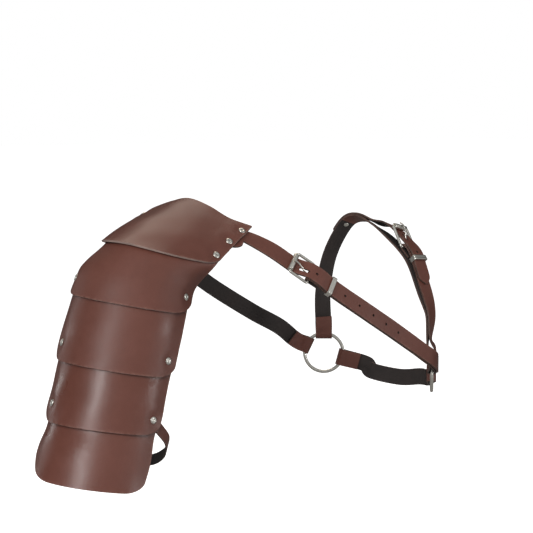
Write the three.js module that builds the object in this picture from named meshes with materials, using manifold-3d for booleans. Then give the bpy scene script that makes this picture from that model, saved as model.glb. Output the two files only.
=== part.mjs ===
// A leather pauldron for the right shoulder: a shoulder cap and four arm lames, riveted so that each
// covers the top of the next, held by a harness of buckled straps round the chest, the other shoulder
// and the upper arm. It is modelled in its worn form. Millimetres, +Z up, the wearer faces -Y and
// the wearer's left is +X. The origin is the seat on top of the right shoulder, under the cap.

import * as THREE from "three";
import { mergeVertices } from "three/addons/utils/BufferGeometryUtils.js";
import Module from "manifold-3d";

const wasm = await Module();
wasm.setup();

// Driving dimensions

const PLATE = 2.0;
const STRAP_WIDTH = 17;
const STRAP = 1.8;
const GAP = 0.4;
const ARM_STRAP_WIDTH = 11;
const ARM_STRAP = 1.6;
const HOLE_RADIUS = 1.3;
const HOLE_PITCH = 18.6;

const RIVET_HEAD = 3.5;
const RIVET_SHANK = 1.5;
const RIVET_CLEARANCE = 0.55;

const ROD = 1.4;
const ROLLER = 2.75;
const TONGUE = 0.95;
const BUCKLE_LENGTH = 21;
const BUCKLE_HALF_WIDTH = 11.3;
const KEEPER_LENGTH = 4.6;
const KEEPER_WALL = 1.0;

const RING_RADIUS = 20.3;
const RING_ROD = 1.75;
const RING_FOLD = 4.05;
const RING_SAG = 0.9;

const ARM_CENTRE = new THREE.Vector3(0, 0, -72);
const ARM_DOWN = new THREE.Vector3(-0.24, 0.03, -1).normalize();

const LEATHER_COLOUR = "#5a2c14";
const METAL_COLOUR = "#c9cbd0";

// The cap from its back end to its front end: the edge towards the neck and the edge towards the arm

const CAP_STATIONS = [
  { neckX: 45, neckY: 38, neckZ: 9, armX: 2, armY: 48, armZ: -20, crown: 1 },
  { neckX: 52, neckY: 31, neckZ: 14, armX: -17, armY: 30, armZ: -17, crown: 1.5 },
  { neckX: 62, neckY: 21, neckZ: 19, armX: -30, armY: 5, armZ: -15, crown: 2 },
  { neckX: 72, neckY: 8, neckZ: 22, armX: -28, armY: -26, armZ: -16, crown: 3 },
  { neckX: 81, neckY: -12, neckZ: 15, armX: -8, armY: -51, armZ: -24, crown: 3 },
  { neckX: 92, neckY: -31, neckZ: 3, armX: 22, armY: -62, armZ: -32, crown: 3 },
  { neckX: 107, neckY: -46, neckZ: -4.5, armX: 47, armY: -66, armZ: -37, crown: 2 },
];

// Each arm lame: how far it tucks under the piece above and stands off it, then two sections on the arm,
// given by the distance down the arm, the radius and the angles of the ends from straight outwards

const LAMES = [
  { tuck: 0.62, proud: 2, mid: -20, midR: 56, midBack: -50, midFront: 124, bottom: 11, bottomR: 62.5 },
  { tuck: 0.75, proud: 1, mid: 42, midR: 61.5, midBack: -33, midFront: 106, bottom: 75, bottomR: 63.5 },
  { tuck: 0.7, proud: 1, mid: 100, midR: 60.5, midBack: -29, midFront: 103, bottom: 134, bottomR: 62 },
  { tuck: 0.7, proud: 1, mid: 155, midR: 62, midBack: -27, midFront: 98, bottom: 188, bottomR: 65 },
];

// The ends of each lame's lower edge, and how much higher its front end is

const HEMS = [
  { back: -36, front: 110, lift: 2 },
  { back: -31, front: 103, lift: 4 },
  { back: -28, front: 100, lift: 8 },
  { back: -25, front: 92, lift: 5 },
];

// The rounded lower corners: how far each runs along the lower edge and up the end, and the sag of that edge

const CAP_CORNERS = { back: { along: 10, down: 10 }, front: { along: 18, down: 11 }, sag: 0 };
const LAME_CORNERS = { back: { along: 24, down: 13 }, front: { along: 24, down: 13 }, sag: 5 };
const LAST_CORNERS = { back: { along: 50, down: 24 }, front: { along: 24, down: 13 }, sag: 5 };

// Helpers

const DEG = Math.PI / 180;
const ARM_OUT = new THREE.Vector3(-1, 0, 0).addScaledVector(ARM_DOWN, ARM_DOWN.x).normalize();
const ARM_FRONT = new THREE.Vector3().crossVectors(ARM_OUT, ARM_DOWN);

function onArm(down, angle, radius) {
  return ARM_CENTRE.clone()
    .addScaledVector(ARM_DOWN, down)
    .addScaledVector(ARM_OUT, radius * Math.cos(angle * DEG))
    .addScaledVector(ARM_FRONT, radius * Math.sin(angle * DEG));
}

// A smooth curve through a list of points, from 0 to 1
function through(points, t) {
  return new THREE.CatmullRomCurve3(points, false, "catmullrom", 0.5).getPoint(t);
}

// A smooth surface through a net of points: u runs from back to front, v from top to bottom
function surface(net) {
  const at = (u, v) => through(net.map((row) => through(row, u)), v);
  const normal = (u, v) => {
    const step = 0.004;
    const du = at(Math.min(u + step, 1), v).sub(at(Math.max(u - step, 0), v));
    const dv = at(u, Math.min(v + step, 1)).sub(at(u, Math.max(v - step, 0)));
    return dv.cross(du).normalize();
  };
  const under = (u, v, depth) => at(u, v).addScaledVector(normal(u, v), -depth);
  return { at, normal, under };
}

function geometryFrom(points, faces) {
  const geometry = new THREE.BufferGeometry();
  geometry.setAttribute("position", new THREE.Float32BufferAttribute(points.flatMap((p) => p.toArray()), 3));
  geometry.setIndex(faces.flat());
  return geometry;
}

function solid(geometry) {
  const bare = new THREE.BufferGeometry();
  bare.setAttribute("position", geometry.getAttribute("position"));
  bare.setIndex(geometry.getIndex());
  const merged = mergeVertices(bare, 1e-4);
  return new wasm.Manifold(new wasm.Mesh({
    numProp: 3,
    vertProperties: new Float32Array(merged.getAttribute("position").array),
    triVerts: new Uint32Array(merged.getIndex().array),
  }));
}

function geometryOf(body) {
  const mesh = body.getMesh();
  const geometry = new THREE.BufferGeometry();
  geometry.setAttribute("position", new THREE.BufferAttribute(new Float32Array(mesh.vertProperties), 3));
  geometry.setIndex(new THREE.BufferAttribute(new Uint32Array(mesh.triVerts), 1));
  geometry.computeVertexNormals();
  return geometry;
}

// A closed wall of even thickness on a surface, its lower corners rounded
function wall(skin, height, width, corners, columns, rows, thickness) {
  const points = [];
  const faces = [];
  const lowest = (u) => {
    const { along, down } = u < 0.5 ? corners.back : corners.front;
    const inset = Math.min(u, 1 - u) * width;
    const past = THREE.MathUtils.clamp(1 - inset / along, 0, 1);
    const drop = down * (1 - Math.sqrt(1 - past * past)) + corners.sag * (2 * u - 1) ** 2;
    return 1 - drop / height;
  };
  const index = (side, i, j) => (side * (columns + 1) + i) * (rows + 1) + j;
  for (const side of [0.5, -0.5]) {
    for (let i = 0; i <= columns; i += 1) {
      const even = i / columns;
      const u = THREE.MathUtils.clamp(even - 0.11 * Math.sin(2 * Math.PI * even), 0, 1);
      for (let j = 0; j <= rows; j += 1) {
        const v = (lowest(u) * j) / rows;
        points.push(skin.at(u, v).addScaledVector(skin.normal(u, v), side * thickness));
      }
    }
  }
  const quad = (a, b, c, d) => faces.push([a, b, c], [a, c, d]);
  for (let i = 0; i < columns; i += 1) {
    for (let j = 0; j < rows; j += 1) {
      quad(index(0, i, j), index(0, i, j + 1), index(0, i + 1, j + 1), index(0, i + 1, j));
      quad(index(1, i, j), index(1, i + 1, j), index(1, i + 1, j + 1), index(1, i, j + 1));
    }
    quad(index(0, i, 0), index(0, i + 1, 0), index(1, i + 1, 0), index(1, i, 0));
    quad(index(0, i, rows), index(1, i, rows), index(1, i + 1, rows), index(0, i + 1, rows));
  }
  for (let j = 0; j < rows; j += 1) {
    quad(index(0, 0, j), index(1, 0, j), index(1, 0, j + 1), index(0, 0, j + 1));
    quad(index(0, columns, j), index(0, columns, j + 1), index(1, columns, j + 1), index(1, columns, j));
  }
  return solid(geometryFrom(points, faces));
}

function upright(geometry, at, along) {
  const turn = new THREE.Quaternion().setFromUnitVectors(new THREE.Vector3(0, 1, 0), along);
  return geometry.applyQuaternion(turn).translate(at.x, at.y, at.z);
}

function rod(from, to, radius, sides) {
  const along = to.clone().sub(from);
  const shape = new THREE.CylinderGeometry(radius, radius, along.length(), sides);
  const middle = from.clone().add(to).multiplyScalar(0.5);
  return solid(upright(shape, middle, along.normalize()));
}

// A round rod bent into a closed loop with mitred corners
function loop(corners, radius, sides = 10) {
  const points = [];
  const faces = [];
  const count = corners.length;
  const flat = corners[1].clone().sub(corners[0]).cross(corners[2].clone().sub(corners[1])).normalize();
  corners.forEach((corner, i) => {
    const into = corner.clone().sub(corners[(i + count - 1) % count]).normalize();
    const away = corners[(i + 1) % count].clone().sub(corner).normalize();
    const miter = new THREE.Vector3().crossVectors(into.clone().add(away).normalize(), flat);
    const stretch = 1 / Math.sqrt((1 + into.dot(away)) / 2);
    for (let k = 0; k < sides; k += 1) {
      const angle = (2 * Math.PI * k) / sides;
      points.push(corner.clone()
        .addScaledVector(miter, radius * stretch * Math.cos(angle))
        .addScaledVector(flat, radius * Math.sin(angle)));
    }
  });
  for (let i = 0; i < count; i += 1) {
    for (let k = 0; k < sides; k += 1) {
      const next = (i + 1) % count;
      const turn = (k + 1) % sides;
      faces.push([i * sides + k, next * sides + k, next * sides + turn]);
      faces.push([i * sides + k, next * sides + turn, i * sides + turn]);
    }
  }
  return solid(geometryFrom(points, faces));
}

function drill(body, at, along, radius, reach, sides = 8) {
  const start = at.clone().addScaledVector(along, -reach);
  const end = at.clone().addScaledVector(along, reach);
  return body.subtract(rod(start, end, radius, sides));
}

// The finished pieces

const pauldron = new THREE.Group();
pauldron.name = "pauldron";

function place(name, body, kind) {
  const metal = kind === "metal";
  const material = new THREE.MeshStandardMaterial({
    color: metal ? METAL_COLOUR : LEATHER_COLOUR,
    roughness: metal ? 0.25 : 0.38,
    metalness: metal ? 1 : 0,
  });
  const mesh = new THREE.Mesh(geometryOf(body), material);
  mesh.name = name;
  pauldron.add(mesh);
}

// Plates: the cap, then each lame tucked under the piece above it

function capSurface() {
  const neck = CAP_STATIONS.map((s) => new THREE.Vector3(s.neckX, s.neckY, s.neckZ));
  const arm = CAP_STATIONS.map((s) => new THREE.Vector3(s.armX, s.armY, s.armZ));
  const flat = surface([neck, arm]);
  const crown = CAP_STATIONS.map((s, i) => flat.under(i / (CAP_STATIONS.length - 1), 0.5, -s.crown));
  return surface([neck, crown, arm]);
}

function lameSurface(above, lame, hem) {
  const stations = 9;
  const rows = [[], [], [], [], []];
  for (let i = 0; i < stations; i += 1) {
    const u = i / (stations - 1);
    const midAngle = THREE.MathUtils.lerp(lame.midBack, lame.midFront, u);
    const angle = THREE.MathUtils.lerp(hem.back, hem.front, u);
    rows[0].push(above.under(u, lame.tuck, PLATE + 3.3 * GAP));
    rows[1].push(above.under(u, (1 + lame.tuck) / 2, PLATE + 3.3 * GAP));
    rows[2].push(above.under(u, 1, PLATE + 2.5 * GAP + lame.proud));
    rows[3].push(onArm(lame.mid, midAngle, lame.midR));
    rows[4].push(onArm(lame.bottom - hem.lift * u, angle, lame.bottomR));
  }
  return surface(rows);
}

const cap = capSurface();
const plates = [{ name: "shoulder_cap", skin: cap, body: wall(cap, 100, 190, CAP_CORNERS, 24, 6, PLATE) }];
for (const [i, lame] of LAMES.entries()) {
  const skin = lameSurface(plates[i].skin, lame, HEMS[i]);
  const corners = lame === LAMES.at(-1) ? LAST_CORNERS : LAME_CORNERS;
  plates.push({ name: `arm_lame_${i + 1}`, skin, body: wall(skin, 136, 165, corners, 18, 8, PLATE) });
}

// Rivets: a domed head outside, a shank through drilled holes and a flat washer inside

function depthUnder(skin, at, along) {
  let best = { u: 0.5, v: 0.5, off: Infinity, depth: 0 };
  for (let span = 0.5; span > 0.001; span *= 0.3) {
    const { u: u0, v: v0 } = best;
    for (let i = -6; i <= 6; i += 1) {
      for (let j = -6; j <= 6; j += 1) {
        const u = THREE.MathUtils.clamp(u0 + (span * i) / 6, 0, 1);
        const v = THREE.MathUtils.clamp(v0 + (span * j) / 6, 0, 1);
        const away = skin.at(u, v).sub(at);
        const depth = -away.dot(along);
        const off = away.addScaledVector(along, depth).length();
        if (off < best.off) {
          best = { u, v, off, depth };
        }
      }
    }
  }
  return best.depth;
}

function rivet(at, along, outer, inner) {
  const top = outer + RIVET_CLEARANCE;
  const bottom = -inner - 1.6 * RIVET_CLEARANCE;
  const profile = [
    [0, bottom - 0.9],
    [2.5, bottom - 0.9],
    [2.5, bottom],
    [RIVET_SHANK, bottom],
    [RIVET_SHANK, top],
    [RIVET_HEAD, top],
    [RIVET_HEAD, top + 0.5],
    [0.75 * RIVET_HEAD, top + 1.3],
    [0.4 * RIVET_HEAD, top + 1.5],
    [0, top + 1.2],
  ];
  const points = profile.map(([x, y]) => new THREE.Vector2(x, y));
  return solid(upright(new THREE.LatheGeometry(points, 8), at, along));
}

const LAME_RIVETS = [
  { u: 0.1, v: 0.845, end: "back" },
  { u: 0.925, v: 0.835, end: "front" },
];

const CAP_RIVETS = [
  { u: 0.055, v: 0.17, end: "back", through: "strap" },
  { u: 0.055, v: 0.52, end: "back", through: "strap" },
  { u: 0.055, v: 0.87, end: "back", through: "lame" },
  { u: 0.965, v: 0.17, end: "front", through: "strap" },
  { u: 0.95, v: 0.49, end: "front", through: "strap" },
  { u: 0.945, v: 0.82, end: "front", through: "lame" },
];

function rivetThrough(name, outer, inner, u, v, lining = 0) {
  const at = outer.skin.at(u, v);
  const along = outer.skin.normal(u, v);
  const depth = depthUnder(inner.skin, at, along);
  outer.body = drill(outer.body, at, along, RIVET_SHANK + 0.3, 6);
  inner.body = drill(inner.body, at, along, RIVET_SHANK + 0.3, depth + 4);
  place(name, rivet(at, along, PLATE / 2, depth + PLATE / 2 + lining), "metal");
  return { at: at.addScaledVector(along, -depth - PLATE / 2 - GAP - ARM_STRAP / 2), along };
}

const armEnds = {};
for (let i = 1; i < plates.length - 1; i += 1) {
  const lining = i === 3 ? GAP + ARM_STRAP : 0;
  for (const { u, v, end } of LAME_RIVETS) {
    armEnds[end] = rivetThrough(`lame_rivet_${end}_${i}`, plates[i], plates[i + 1], u, v, lining);
  }
}

// Straps follow a line over the body: points, each with the way the strap's face looks there, as a turn
// from straight ahead towards the wearer's left and a rise from level, both in degrees

const FRONT_RING = { x: 316, y: -79, z: -156, turn: 47 };
const REAR_RING = { x: 312, y: 82, z: -150, turn: 140 };

const CHEST_ROWS = [
  { x: 115, y: -64, z: -25.5, turn: -8, rise: 28 },
  { x: 135, y: -75, z: -41, turn: -6, rise: 24 },
  { x: 153, y: -85, z: -54, turn: -4, rise: 20 },
  { x: 181, y: -96, z: -73, turn: 0, rise: 14 },
  { x: 212, y: -103, z: -93, turn: 6, rise: 8 },
  { x: 248, y: -104, z: -114, turn: 14, rise: 4 },
];

const BACK_ROWS = [
  { x: 66, y: 60, z: -12, turn: -165, rise: 28 },
  { x: 110, y: 83, z: -38, turn: -172, rise: 12 },
  { x: 165, y: 96, z: -70, turn: -180, rise: 4 },
  { x: 225, y: 98, z: -102, turn: -190, rise: 0 },
  { x: 262, y: 97, z: -120, turn: -200, rise: 0 },
];

const SHOULDER_ROWS = [
  { x: 311.5, y: 83, z: -86, turn: 160, rise: 8 },
  { x: 316, y: 77, z: -46, turn: 165, rise: 27 },
  { x: 320, y: 56, z: -13, turn: 146, rise: 57 },
  { x: 321, y: 34, z: -6, turn: 90, rise: 66 },
  { x: 320, y: 11, z: -13, turn: 53, rise: 59 },
  { x: 318, y: -18, z: -25, turn: 28, rise: 56 },
  { x: 321, y: -45, z: -46, turn: 11, rise: 41 },
  { x: 321, y: -62, z: -75, turn: 8, rise: 22 },
  { x: 321.5, y: -69.5, z: -99, turn: 22, rise: 10 },
];

const UNDERARM_ROWS = [
  { x: 344, y: -32, z: -168, turn: 74, rise: 0 },
  { x: 349, y: 4, z: -172, turn: 92, rise: 0 },
  { x: 342, y: 40, z: -168, turn: 112, rise: 0 },
];

const ARM_STRAP_ROWS = [
  { from: "front", angle: -9, down: -2, out: -0.8 },
  { from: "front", angle: 0, down: 0, out: 0 },
  { from: "front", angle: 9, down: 3, out: -0.8 },
  { from: "front", angle: 19, down: 8, out: 1 },
  { from: "front", angle: 34, down: 17, out: 4 },
  { from: "front", angle: 58, down: 30, out: 1 },
  { from: "front", angle: 92, down: 40, out: -2 },
  { from: "back", angle: -106, down: 42, out: -2 },
  { from: "back", angle: -68, down: 37, out: -1 },
  { from: "back", angle: -36, down: 24, out: 0 },
  { from: "back", angle: -15, down: 8, out: -1 },
  { from: "back", angle: 0, down: 0, out: 0 },
  { from: "back", angle: 9, down: -3, out: -0.8 },
];

function line(rows) {
  const points = rows.map((row) => new THREE.Vector3(row.x, row.y, row.z));
  const facing = rows.map((row) => new THREE.Vector3(row.turn * DEG, row.rise * DEG, 0));
  const curve = new THREE.CatmullRomCurve3(points, false, "catmullrom", 0.5);
  curve.arcLengthDivisions = 400;
  const length = curve.getLength();
  const at = (s, lift, aside) => {
    const part = THREE.MathUtils.clamp(s / length, 0, 1);
    const t = curve.getUtoTmapping(part);
    const along = curve.getTangent(t);
    const { x: turn, y: rise } = through(facing, t);
    const level = Math.cos(rise);
    const face = new THREE.Vector3(Math.sin(turn) * level, -Math.cos(turn) * level, Math.sin(rise));
    face.addScaledVector(along, -face.dot(along)).normalize();
    const across = new THREE.Vector3().crossVectors(face, along);
    return curve.getPoint(t)
      .addScaledVector(along, s - part * length)
      .addScaledVector(face, lift)
      .addScaledVector(across, aside);
  };
  const nearest = (point) => {
    let best = 0;
    for (let s = 0; s <= length; s += 0.5) {
      if (at(s, 0, 0).distanceTo(point) < at(best, 0, 0).distanceTo(point)) {
        best = s;
      }
    }
    return best;
  };
  return { at, length, nearest };
}

function seat(at, facing) {
  const turn = Math.atan2(facing.x, -facing.y) / DEG;
  const rise = Math.asin(facing.z) / DEG;
  return { x: at.x, y: at.y, z: at.z, turn, rise };
}

// A place on a line where it meets a ring: beyond is the distance out from the ring's rod
function ringSeat(ring, angle, beyond, turn, rise = 0) {
  const reach = RING_RADIUS + beyond;
  const level = reach * Math.cos(angle * DEG);
  const x = ring.x + level * Math.cos(ring.turn * DEG) - RING_FOLD * Math.sin(ring.turn * DEG);
  const y = ring.y + level * Math.sin(ring.turn * DEG) + RING_FOLD * Math.cos(ring.turn * DEG);
  return { x, y, z: ring.z + reach * Math.sin(angle * DEG), turn, rise };
}

// The side view of a strap: distance along its line, lift off it, and width
function eased(knots, step = 9) {
  const points = knots.map(([s, lift, width = STRAP_WIDTH]) => new THREE.Vector3(s, lift, width));
  const curve = new THREE.CatmullRomCurve3(points, false, "chordal");
  return curve.getSpacedPoints(Math.ceil(curve.getLength() / step));
}

function fold(s, lift, radius, from, to) {
  const points = [];
  for (let i = 0; i <= 8; i += 1) {
    const angle = (from + ((to - from) * i) / 8) * DEG;
    points.push(new THREE.Vector3(s + radius * Math.cos(angle), lift + radius * Math.sin(angle), STRAP_WIDTH));
  }
  return points;
}

function ribbon(path, side, thickness) {
  const points = [];
  const faces = [];
  const quad = (a, b, c, d) => faces.push([a, b, c], [a, c, d]);
  const last = side.length - 1;
  side.forEach((knot, i) => {
    const before = side[Math.max(i - 1, 0)];
    const after = side[Math.min(i + 1, last)];
    const out = new THREE.Vector2(before.y - after.y, after.x - before.x).normalize();
    for (const [h, w] of [[0.5, -0.5], [0.5, 0.5], [-0.5, 0.5], [-0.5, -0.5]]) {
      const s = knot.x + h * thickness * out.x;
      points.push(path.at(s, knot.y + h * thickness * out.y, w * knot.z));
    }
  });
  for (let i = 0; i < last; i += 1) {
    for (let k = 0; k < 4; k += 1) {
      const next = (k + 1) % 4;
      quad(4 * i + k, 4 * i + 4 + k, 4 * i + 4 + next, 4 * i + next);
    }
  }
  quad(0, 1, 2, 3);
  quad(4 * last, 4 * last + 3, 4 * last + 2, 4 * last + 1);
  return solid(geometryFrom(points, faces));
}

function block(path, s, length, halfWidth, low, high) {
  const knots = [[s - length / 2, (low + high) / 2, 2 * halfWidth], [s + length / 2, (low + high) / 2, 2 * halfWidth]];
  return ribbon(path, eased(knots), high - low);
}

// Hardware

const HEEL_FOLD = STRAP / 2 + GAP + ROD;
const LAYER = STRAP + GAP;
const BILLET_OVER_HEEL = 2 * HEEL_FOLD + LAYER;

function wire(path, knots, radius) {
  const curve = new THREE.CatmullRomCurve3(knots.map(([s, lift]) => path.at(s, lift, 0)));
  const section = new THREE.Shape();
  section.absarc(0, 0, radius, 0, 2 * Math.PI);
  const options = { steps: 20, extrudePath: curve, curveSegments: 3 };
  return solid(new THREE.ExtrudeGeometry(section, options));
}

function tube(from, to, inner, outer) {
  const half = from.distanceTo(to) / 2;
  const profile = [[inner, -half], [outer, -half], [outer, half], [inner, half], [inner, -half]];
  const points = profile.map(([x, y]) => new THREE.Vector2(x, y));
  const middle = from.clone().add(to).multiplyScalar(0.5);
  return solid(upright(new THREE.LatheGeometry(points, 14), middle, to.clone().sub(from).normalize()));
}

// A roller buckle on a strap: the billet passes under the roller and over the heel bar, and the roller
// stands off the heel bar by the tilt
function buckle(name, path, s, floor, tilt) {
  const rollerLift = floor + tilt + STRAP / 2 + GAP + ROLLER;
  const heel = s + BUCKLE_LENGTH;
  const heelLift = floor + HEEL_FOLD;
  const half = BUCKLE_HALF_WIDTH;
  const corners = [[s, rollerLift, -half], [heel, heelLift, -half], [heel, heelLift, half], [s, rollerLift, half]];
  const frame = loop(corners.map((corner) => path.at(...corner)), ROD);
  place(`${name}_buckle_frame`, frame, "metal");
  const end = half - ROD - 0.6;
  place(`${name}_roller`, tube(path.at(s, rollerLift, -end), path.at(s, rollerLift, end), ROD + 0.4, ROLLER), "metal");
  const hook = ROD + GAP + TONGUE;
  const knots = [];
  for (let angle = 50; angle >= -170; angle -= 20) {
    knots.push([heel + hook * Math.cos(angle * DEG), heelLift + hook * Math.sin(angle * DEG)]);
  }
  const tip = rollerLift + ROLLER + GAP + TONGUE;
  const rise = tip - heelLift;
  knots.push([s + 13, heelLift + 0.4 * rise], [s + 8, tip - 0.2 * rise], [s + 3, tip], [s - 2.2, tip - 0.2]);
  place(`${name}_tongue`, wire(path, knots, TONGUE), "metal");
}

// A billet's side view where it passes a buckle
function throughBuckle(s, floor, tilt) {
  const heel = s + BUCKLE_LENGTH;
  return [
    [s - 5, floor + tilt],
    [s + 2, floor + tilt + 0.1],
    [s + 11, floor + 0.5 * tilt + 3.6],
    [heel - 2, floor + BILLET_OVER_HEEL - 0.2],
    [heel + 6, floor + BILLET_OVER_HEEL],
    [heel + 12, floor + 6.9],
    [heel + 21, floor + 4.3],
    [heel + 31, floor + LAYER + 0.9],
    [heel + 40, floor + LAYER + 0.2],
  ];
}

// A chape's side view round the heel bar, from its short turned end to its outer layer
function roundHeel(s, floor) {
  const heel = s + BUCKLE_LENGTH;
  const top = floor + 2 * HEEL_FOLD;
  return [
    ...eased([[heel + 12, floor], [heel + 6, floor], [heel + 0.5, floor]]),
    ...fold(heel, floor + HEEL_FOLD, HEEL_FOLD, 270, 90),
    ...eased([[heel + 0.5, top], [heel + 8, top - 0.6], [heel + 20, floor + 1.9], [heel + 31, floor + 0.6], [heel + 40, floor]]),
  ];
}

// A strap's side view where it turns round a ring at the far end of its line, from the outer layer inwards
function roundRing(end) {
  const top = 2 * RING_FOLD;
  return [
    ...eased([[end - 44, 0], [end - 36, 0.2], [end - 24, 2.4], [end - 11, 5.6], [end - 0.5, top]]),
    ...fold(end + RING_SAG, RING_FOLD, RING_FOLD, 90, -90),
    ...eased([[end - 0.5, 0], [end - 9, 0], [end - 18, 0]]),
  ];
}

// The same at the near end of a line
function fromRing() {
  return roundRing(0).reverse().map((knot) => new THREE.Vector3(-knot.x, knot.y, knot.z));
}

function keeper(path, s, low, high) {
  const half = STRAP_WIDTH / 2 + GAP;
  const outer = block(path, s, KEEPER_LENGTH, half + KEEPER_WALL, low - KEEPER_WALL, high + KEEPER_WALL);
  return outer.subtract(block(path, s, KEEPER_LENGTH + 4, half, low, high));
}

function ring(seatAt) {
  const shape = new THREE.TorusGeometry(RING_RADIUS, RING_ROD, 8, 26);
  shape.rotateX(Math.PI / 2).rotateZ(seatAt.turn * DEG).translate(seatAt.x, seatAt.y, seatAt.z);
  return solid(shape);
}

place("front_ring", ring(FRONT_RING), "metal");
place("rear_ring", ring(REAR_RING), "metal");

// The ends of the chest and back straps widen into tabs under the cap, each held by two of its rivets

const TAB = 28;
const TAB_GAP = 1.4;

function underCap(u, v) {
  return seat(cap.under(u, v, PLATE / 2 + TAB_GAP + STRAP / 2), cap.normal(u, v));
}

function tab(edge) {
  return [[0, 0, TAB], [edge - 14, 0, TAB], [edge - 9, 0, TAB - 4], [edge - 3, 0, STRAP_WIDTH], [edge + 6, 0]];
}

function capRivets(end, strap) {
  let held = strap;
  CAP_RIVETS.filter((row) => row.end === end).forEach(({ u, v, through: layer }, i) => {
    const name = `cap_rivet_${end}_${i + 1}`;
    if (layer === "lame") {
      rivetThrough(name, plates[0], plates[1], u, v);
      return;
    }
    const at = cap.at(u, v);
    const along = cap.normal(u, v);
    plates[0].body = drill(plates[0].body, at, along, RIVET_SHANK + 0.3, 6);
    held = drill(held, at, along, RIVET_SHANK + 0.3, 6);
    place(name, rivet(at, along, PLATE / 2, PLATE / 2 + TAB_GAP + STRAP), "metal");
  });
  return held;
}

// Chest strap: the billet runs from under the cap through the buckle towards the ring, over the chape

const chest = line([
  underCap(0.87, 0.33),
  underCap(0.93, 0.32),
  underCap(1, 0.21),
  ...CHEST_ROWS,
  ringSeat(FRONT_RING, 157, 26, 30),
  ringSeat(FRONT_RING, 157, 0, 47),
]);
const chestEdge = chest.nearest(cap.at(1, 0.21));
const chestRoller = chest.nearest(new THREE.Vector3(133.2, -74, -39.6));
const chestHeel = chestRoller + BUCKLE_LENGTH;
const chestEnd = chest.length;

let chestBillet = ribbon(chest, eased([
  ...tab(chestEdge),
  ...throughBuckle(chestRoller, 0, 0),
  [chestHeel + 60, LAYER],
  [chestEnd - 54, LAYER],
  [chestEnd - 44, LAYER],
  [chestEnd - 34, LAYER + 0.6],
  [chestEnd - 24, LAYER + 2.6],
  [chestEnd - 11, LAYER + 5.8],
  [chestEnd - 2, LAYER + 7.7],
], 6), STRAP);
chestBillet = capRivets("front", chestBillet);
chestBillet = chestBillet.subtract(block(chest, chestRoller + 13.5, 10, 1.7, -1, 12));
for (let i = 0; i < 7; i += 1) {
  const s = chestRoller + 25 + HOLE_PITCH * i;
  const at = chest.at(s, 4, 0);
  chestBillet = drill(chestBillet, at, chest.at(s, 5, 0).sub(at), HOLE_RADIUS, 6, 6);
}
place("chest_billet", chestBillet, "leather");

let chestChape = ribbon(chest, [
  ...roundHeel(chestRoller, 0),
  ...eased([[chestHeel + 47, 0], [chestEnd - 51, 0]]),
  ...roundRing(chestEnd),
], STRAP);
chestChape = chestChape.subtract(block(chest, chestHeel, 12, 1.7, -3, 9));
place("chest_chape", chestChape, "leather");
buckle("chest", chest, chestRoller, 0, 0);
place("chest_keeper", keeper(chest, chestHeel + 23.5, -0.1, 6.1), "metal");

// Back strap, plain, from under the back of the cap to the rear ring

const back = line([
  underCap(0.13, 0.33),
  underCap(0.07, 0.32),
  underCap(0, 0.21),
  ...BACK_ROWS,
  ringSeat(REAR_RING, 25, 12, -212),
  ringSeat(REAR_RING, 25, 0, -220),
]);
const backEdge = back.nearest(cap.at(0, 0.21));
const backSide = [...eased([...tab(backEdge), [back.length - 60, 0]]), ...roundRing(back.length)];
place("back_strap", capRivets("back", ribbon(back, backSide, STRAP)), "leather");

// Shoulder strap: from the rear ring over the left shoulder, round the front ring and back up to the
// buckle; the billet is riveted on behind the shoulder

const over = line([
  ringSeat(REAR_RING, 90, 0, 140),
  ringSeat(REAR_RING, 90, 14, 148, 1),
  ...SHOULDER_ROWS,
  ringSeat(FRONT_RING, 88, 14, 40),
  ringSeat(FRONT_RING, 88, 0, 47),
]);
const TILT = 8;
const overRoller = over.nearest(new THREE.Vector3(318, -18, -25));
const overHeel = overRoller + BUCKLE_LENGTH;
const overEnd = over.length;
const overRivet = over.nearest(new THREE.Vector3(320, 56, -13));

let shoulderStrap = ribbon(over, [
  ...fromRing(),
  ...eased([[52, 0], [overEnd - 20, 0], [overEnd - 0.5, 0]]),
  ...fold(overEnd + RING_SAG, RING_FOLD, RING_FOLD, -90, 90),
  ...eased([[overEnd - 0.5, 2 * RING_FOLD], [overEnd - 11, 5.8], [overEnd - 24, 3], [overEnd - 34, LAYER]]),
  ...eased([[overEnd - 41, LAYER], [overHeel + 47, LAYER]]),
  ...roundHeel(overRoller, LAYER).reverse(),
], STRAP);
shoulderStrap = shoulderStrap.subtract(block(over, overHeel, 12, 1.7, 1.4, 12));

let shoulderBillet = ribbon(over, eased([
  [overRivet - 12, LAYER],
  [overRivet + 8, LAYER],
  [overRoller - 46, LAYER + 0.2],
  [overRoller - 30, LAYER + 2],
  [overRoller - 14, LAYER + TILT - 1],
  ...throughBuckle(overRoller, LAYER, TILT).slice(0, -1),
  [overHeel + 35, 2 * LAYER + 0.5],
  [overHeel + 43, 2 * LAYER + 0.2, 2],
], 6), STRAP);
shoulderBillet = shoulderBillet.subtract(block(over, overRoller + 12, 11, 1.7, LAYER, LAYER + 16));

const rivetAt = over.at(overRivet, LAYER, 0);
const rivetUp = over.at(overRivet, LAYER + 1, 0).sub(rivetAt);
shoulderStrap = drill(shoulderStrap, rivetAt, rivetUp, RIVET_SHANK + 0.3, 5);
shoulderBillet = drill(shoulderBillet, rivetAt, rivetUp, RIVET_SHANK + 0.3, 5);
place("shoulder_rivet", rivet(rivetAt, rivetUp, STRAP / 2, LAYER + STRAP / 2), "metal");
place("shoulder_strap", shoulderStrap, "leather");
place("shoulder_billet", shoulderBillet, "leather");
buckle("shoulder", over, overRoller, LAYER, TILT);
place("shoulder_keeper", keeper(over, overHeel + 17, LAYER + 0.9, LAYER + 7.6), "metal");

// Underarm strap, plain, between the rings

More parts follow.
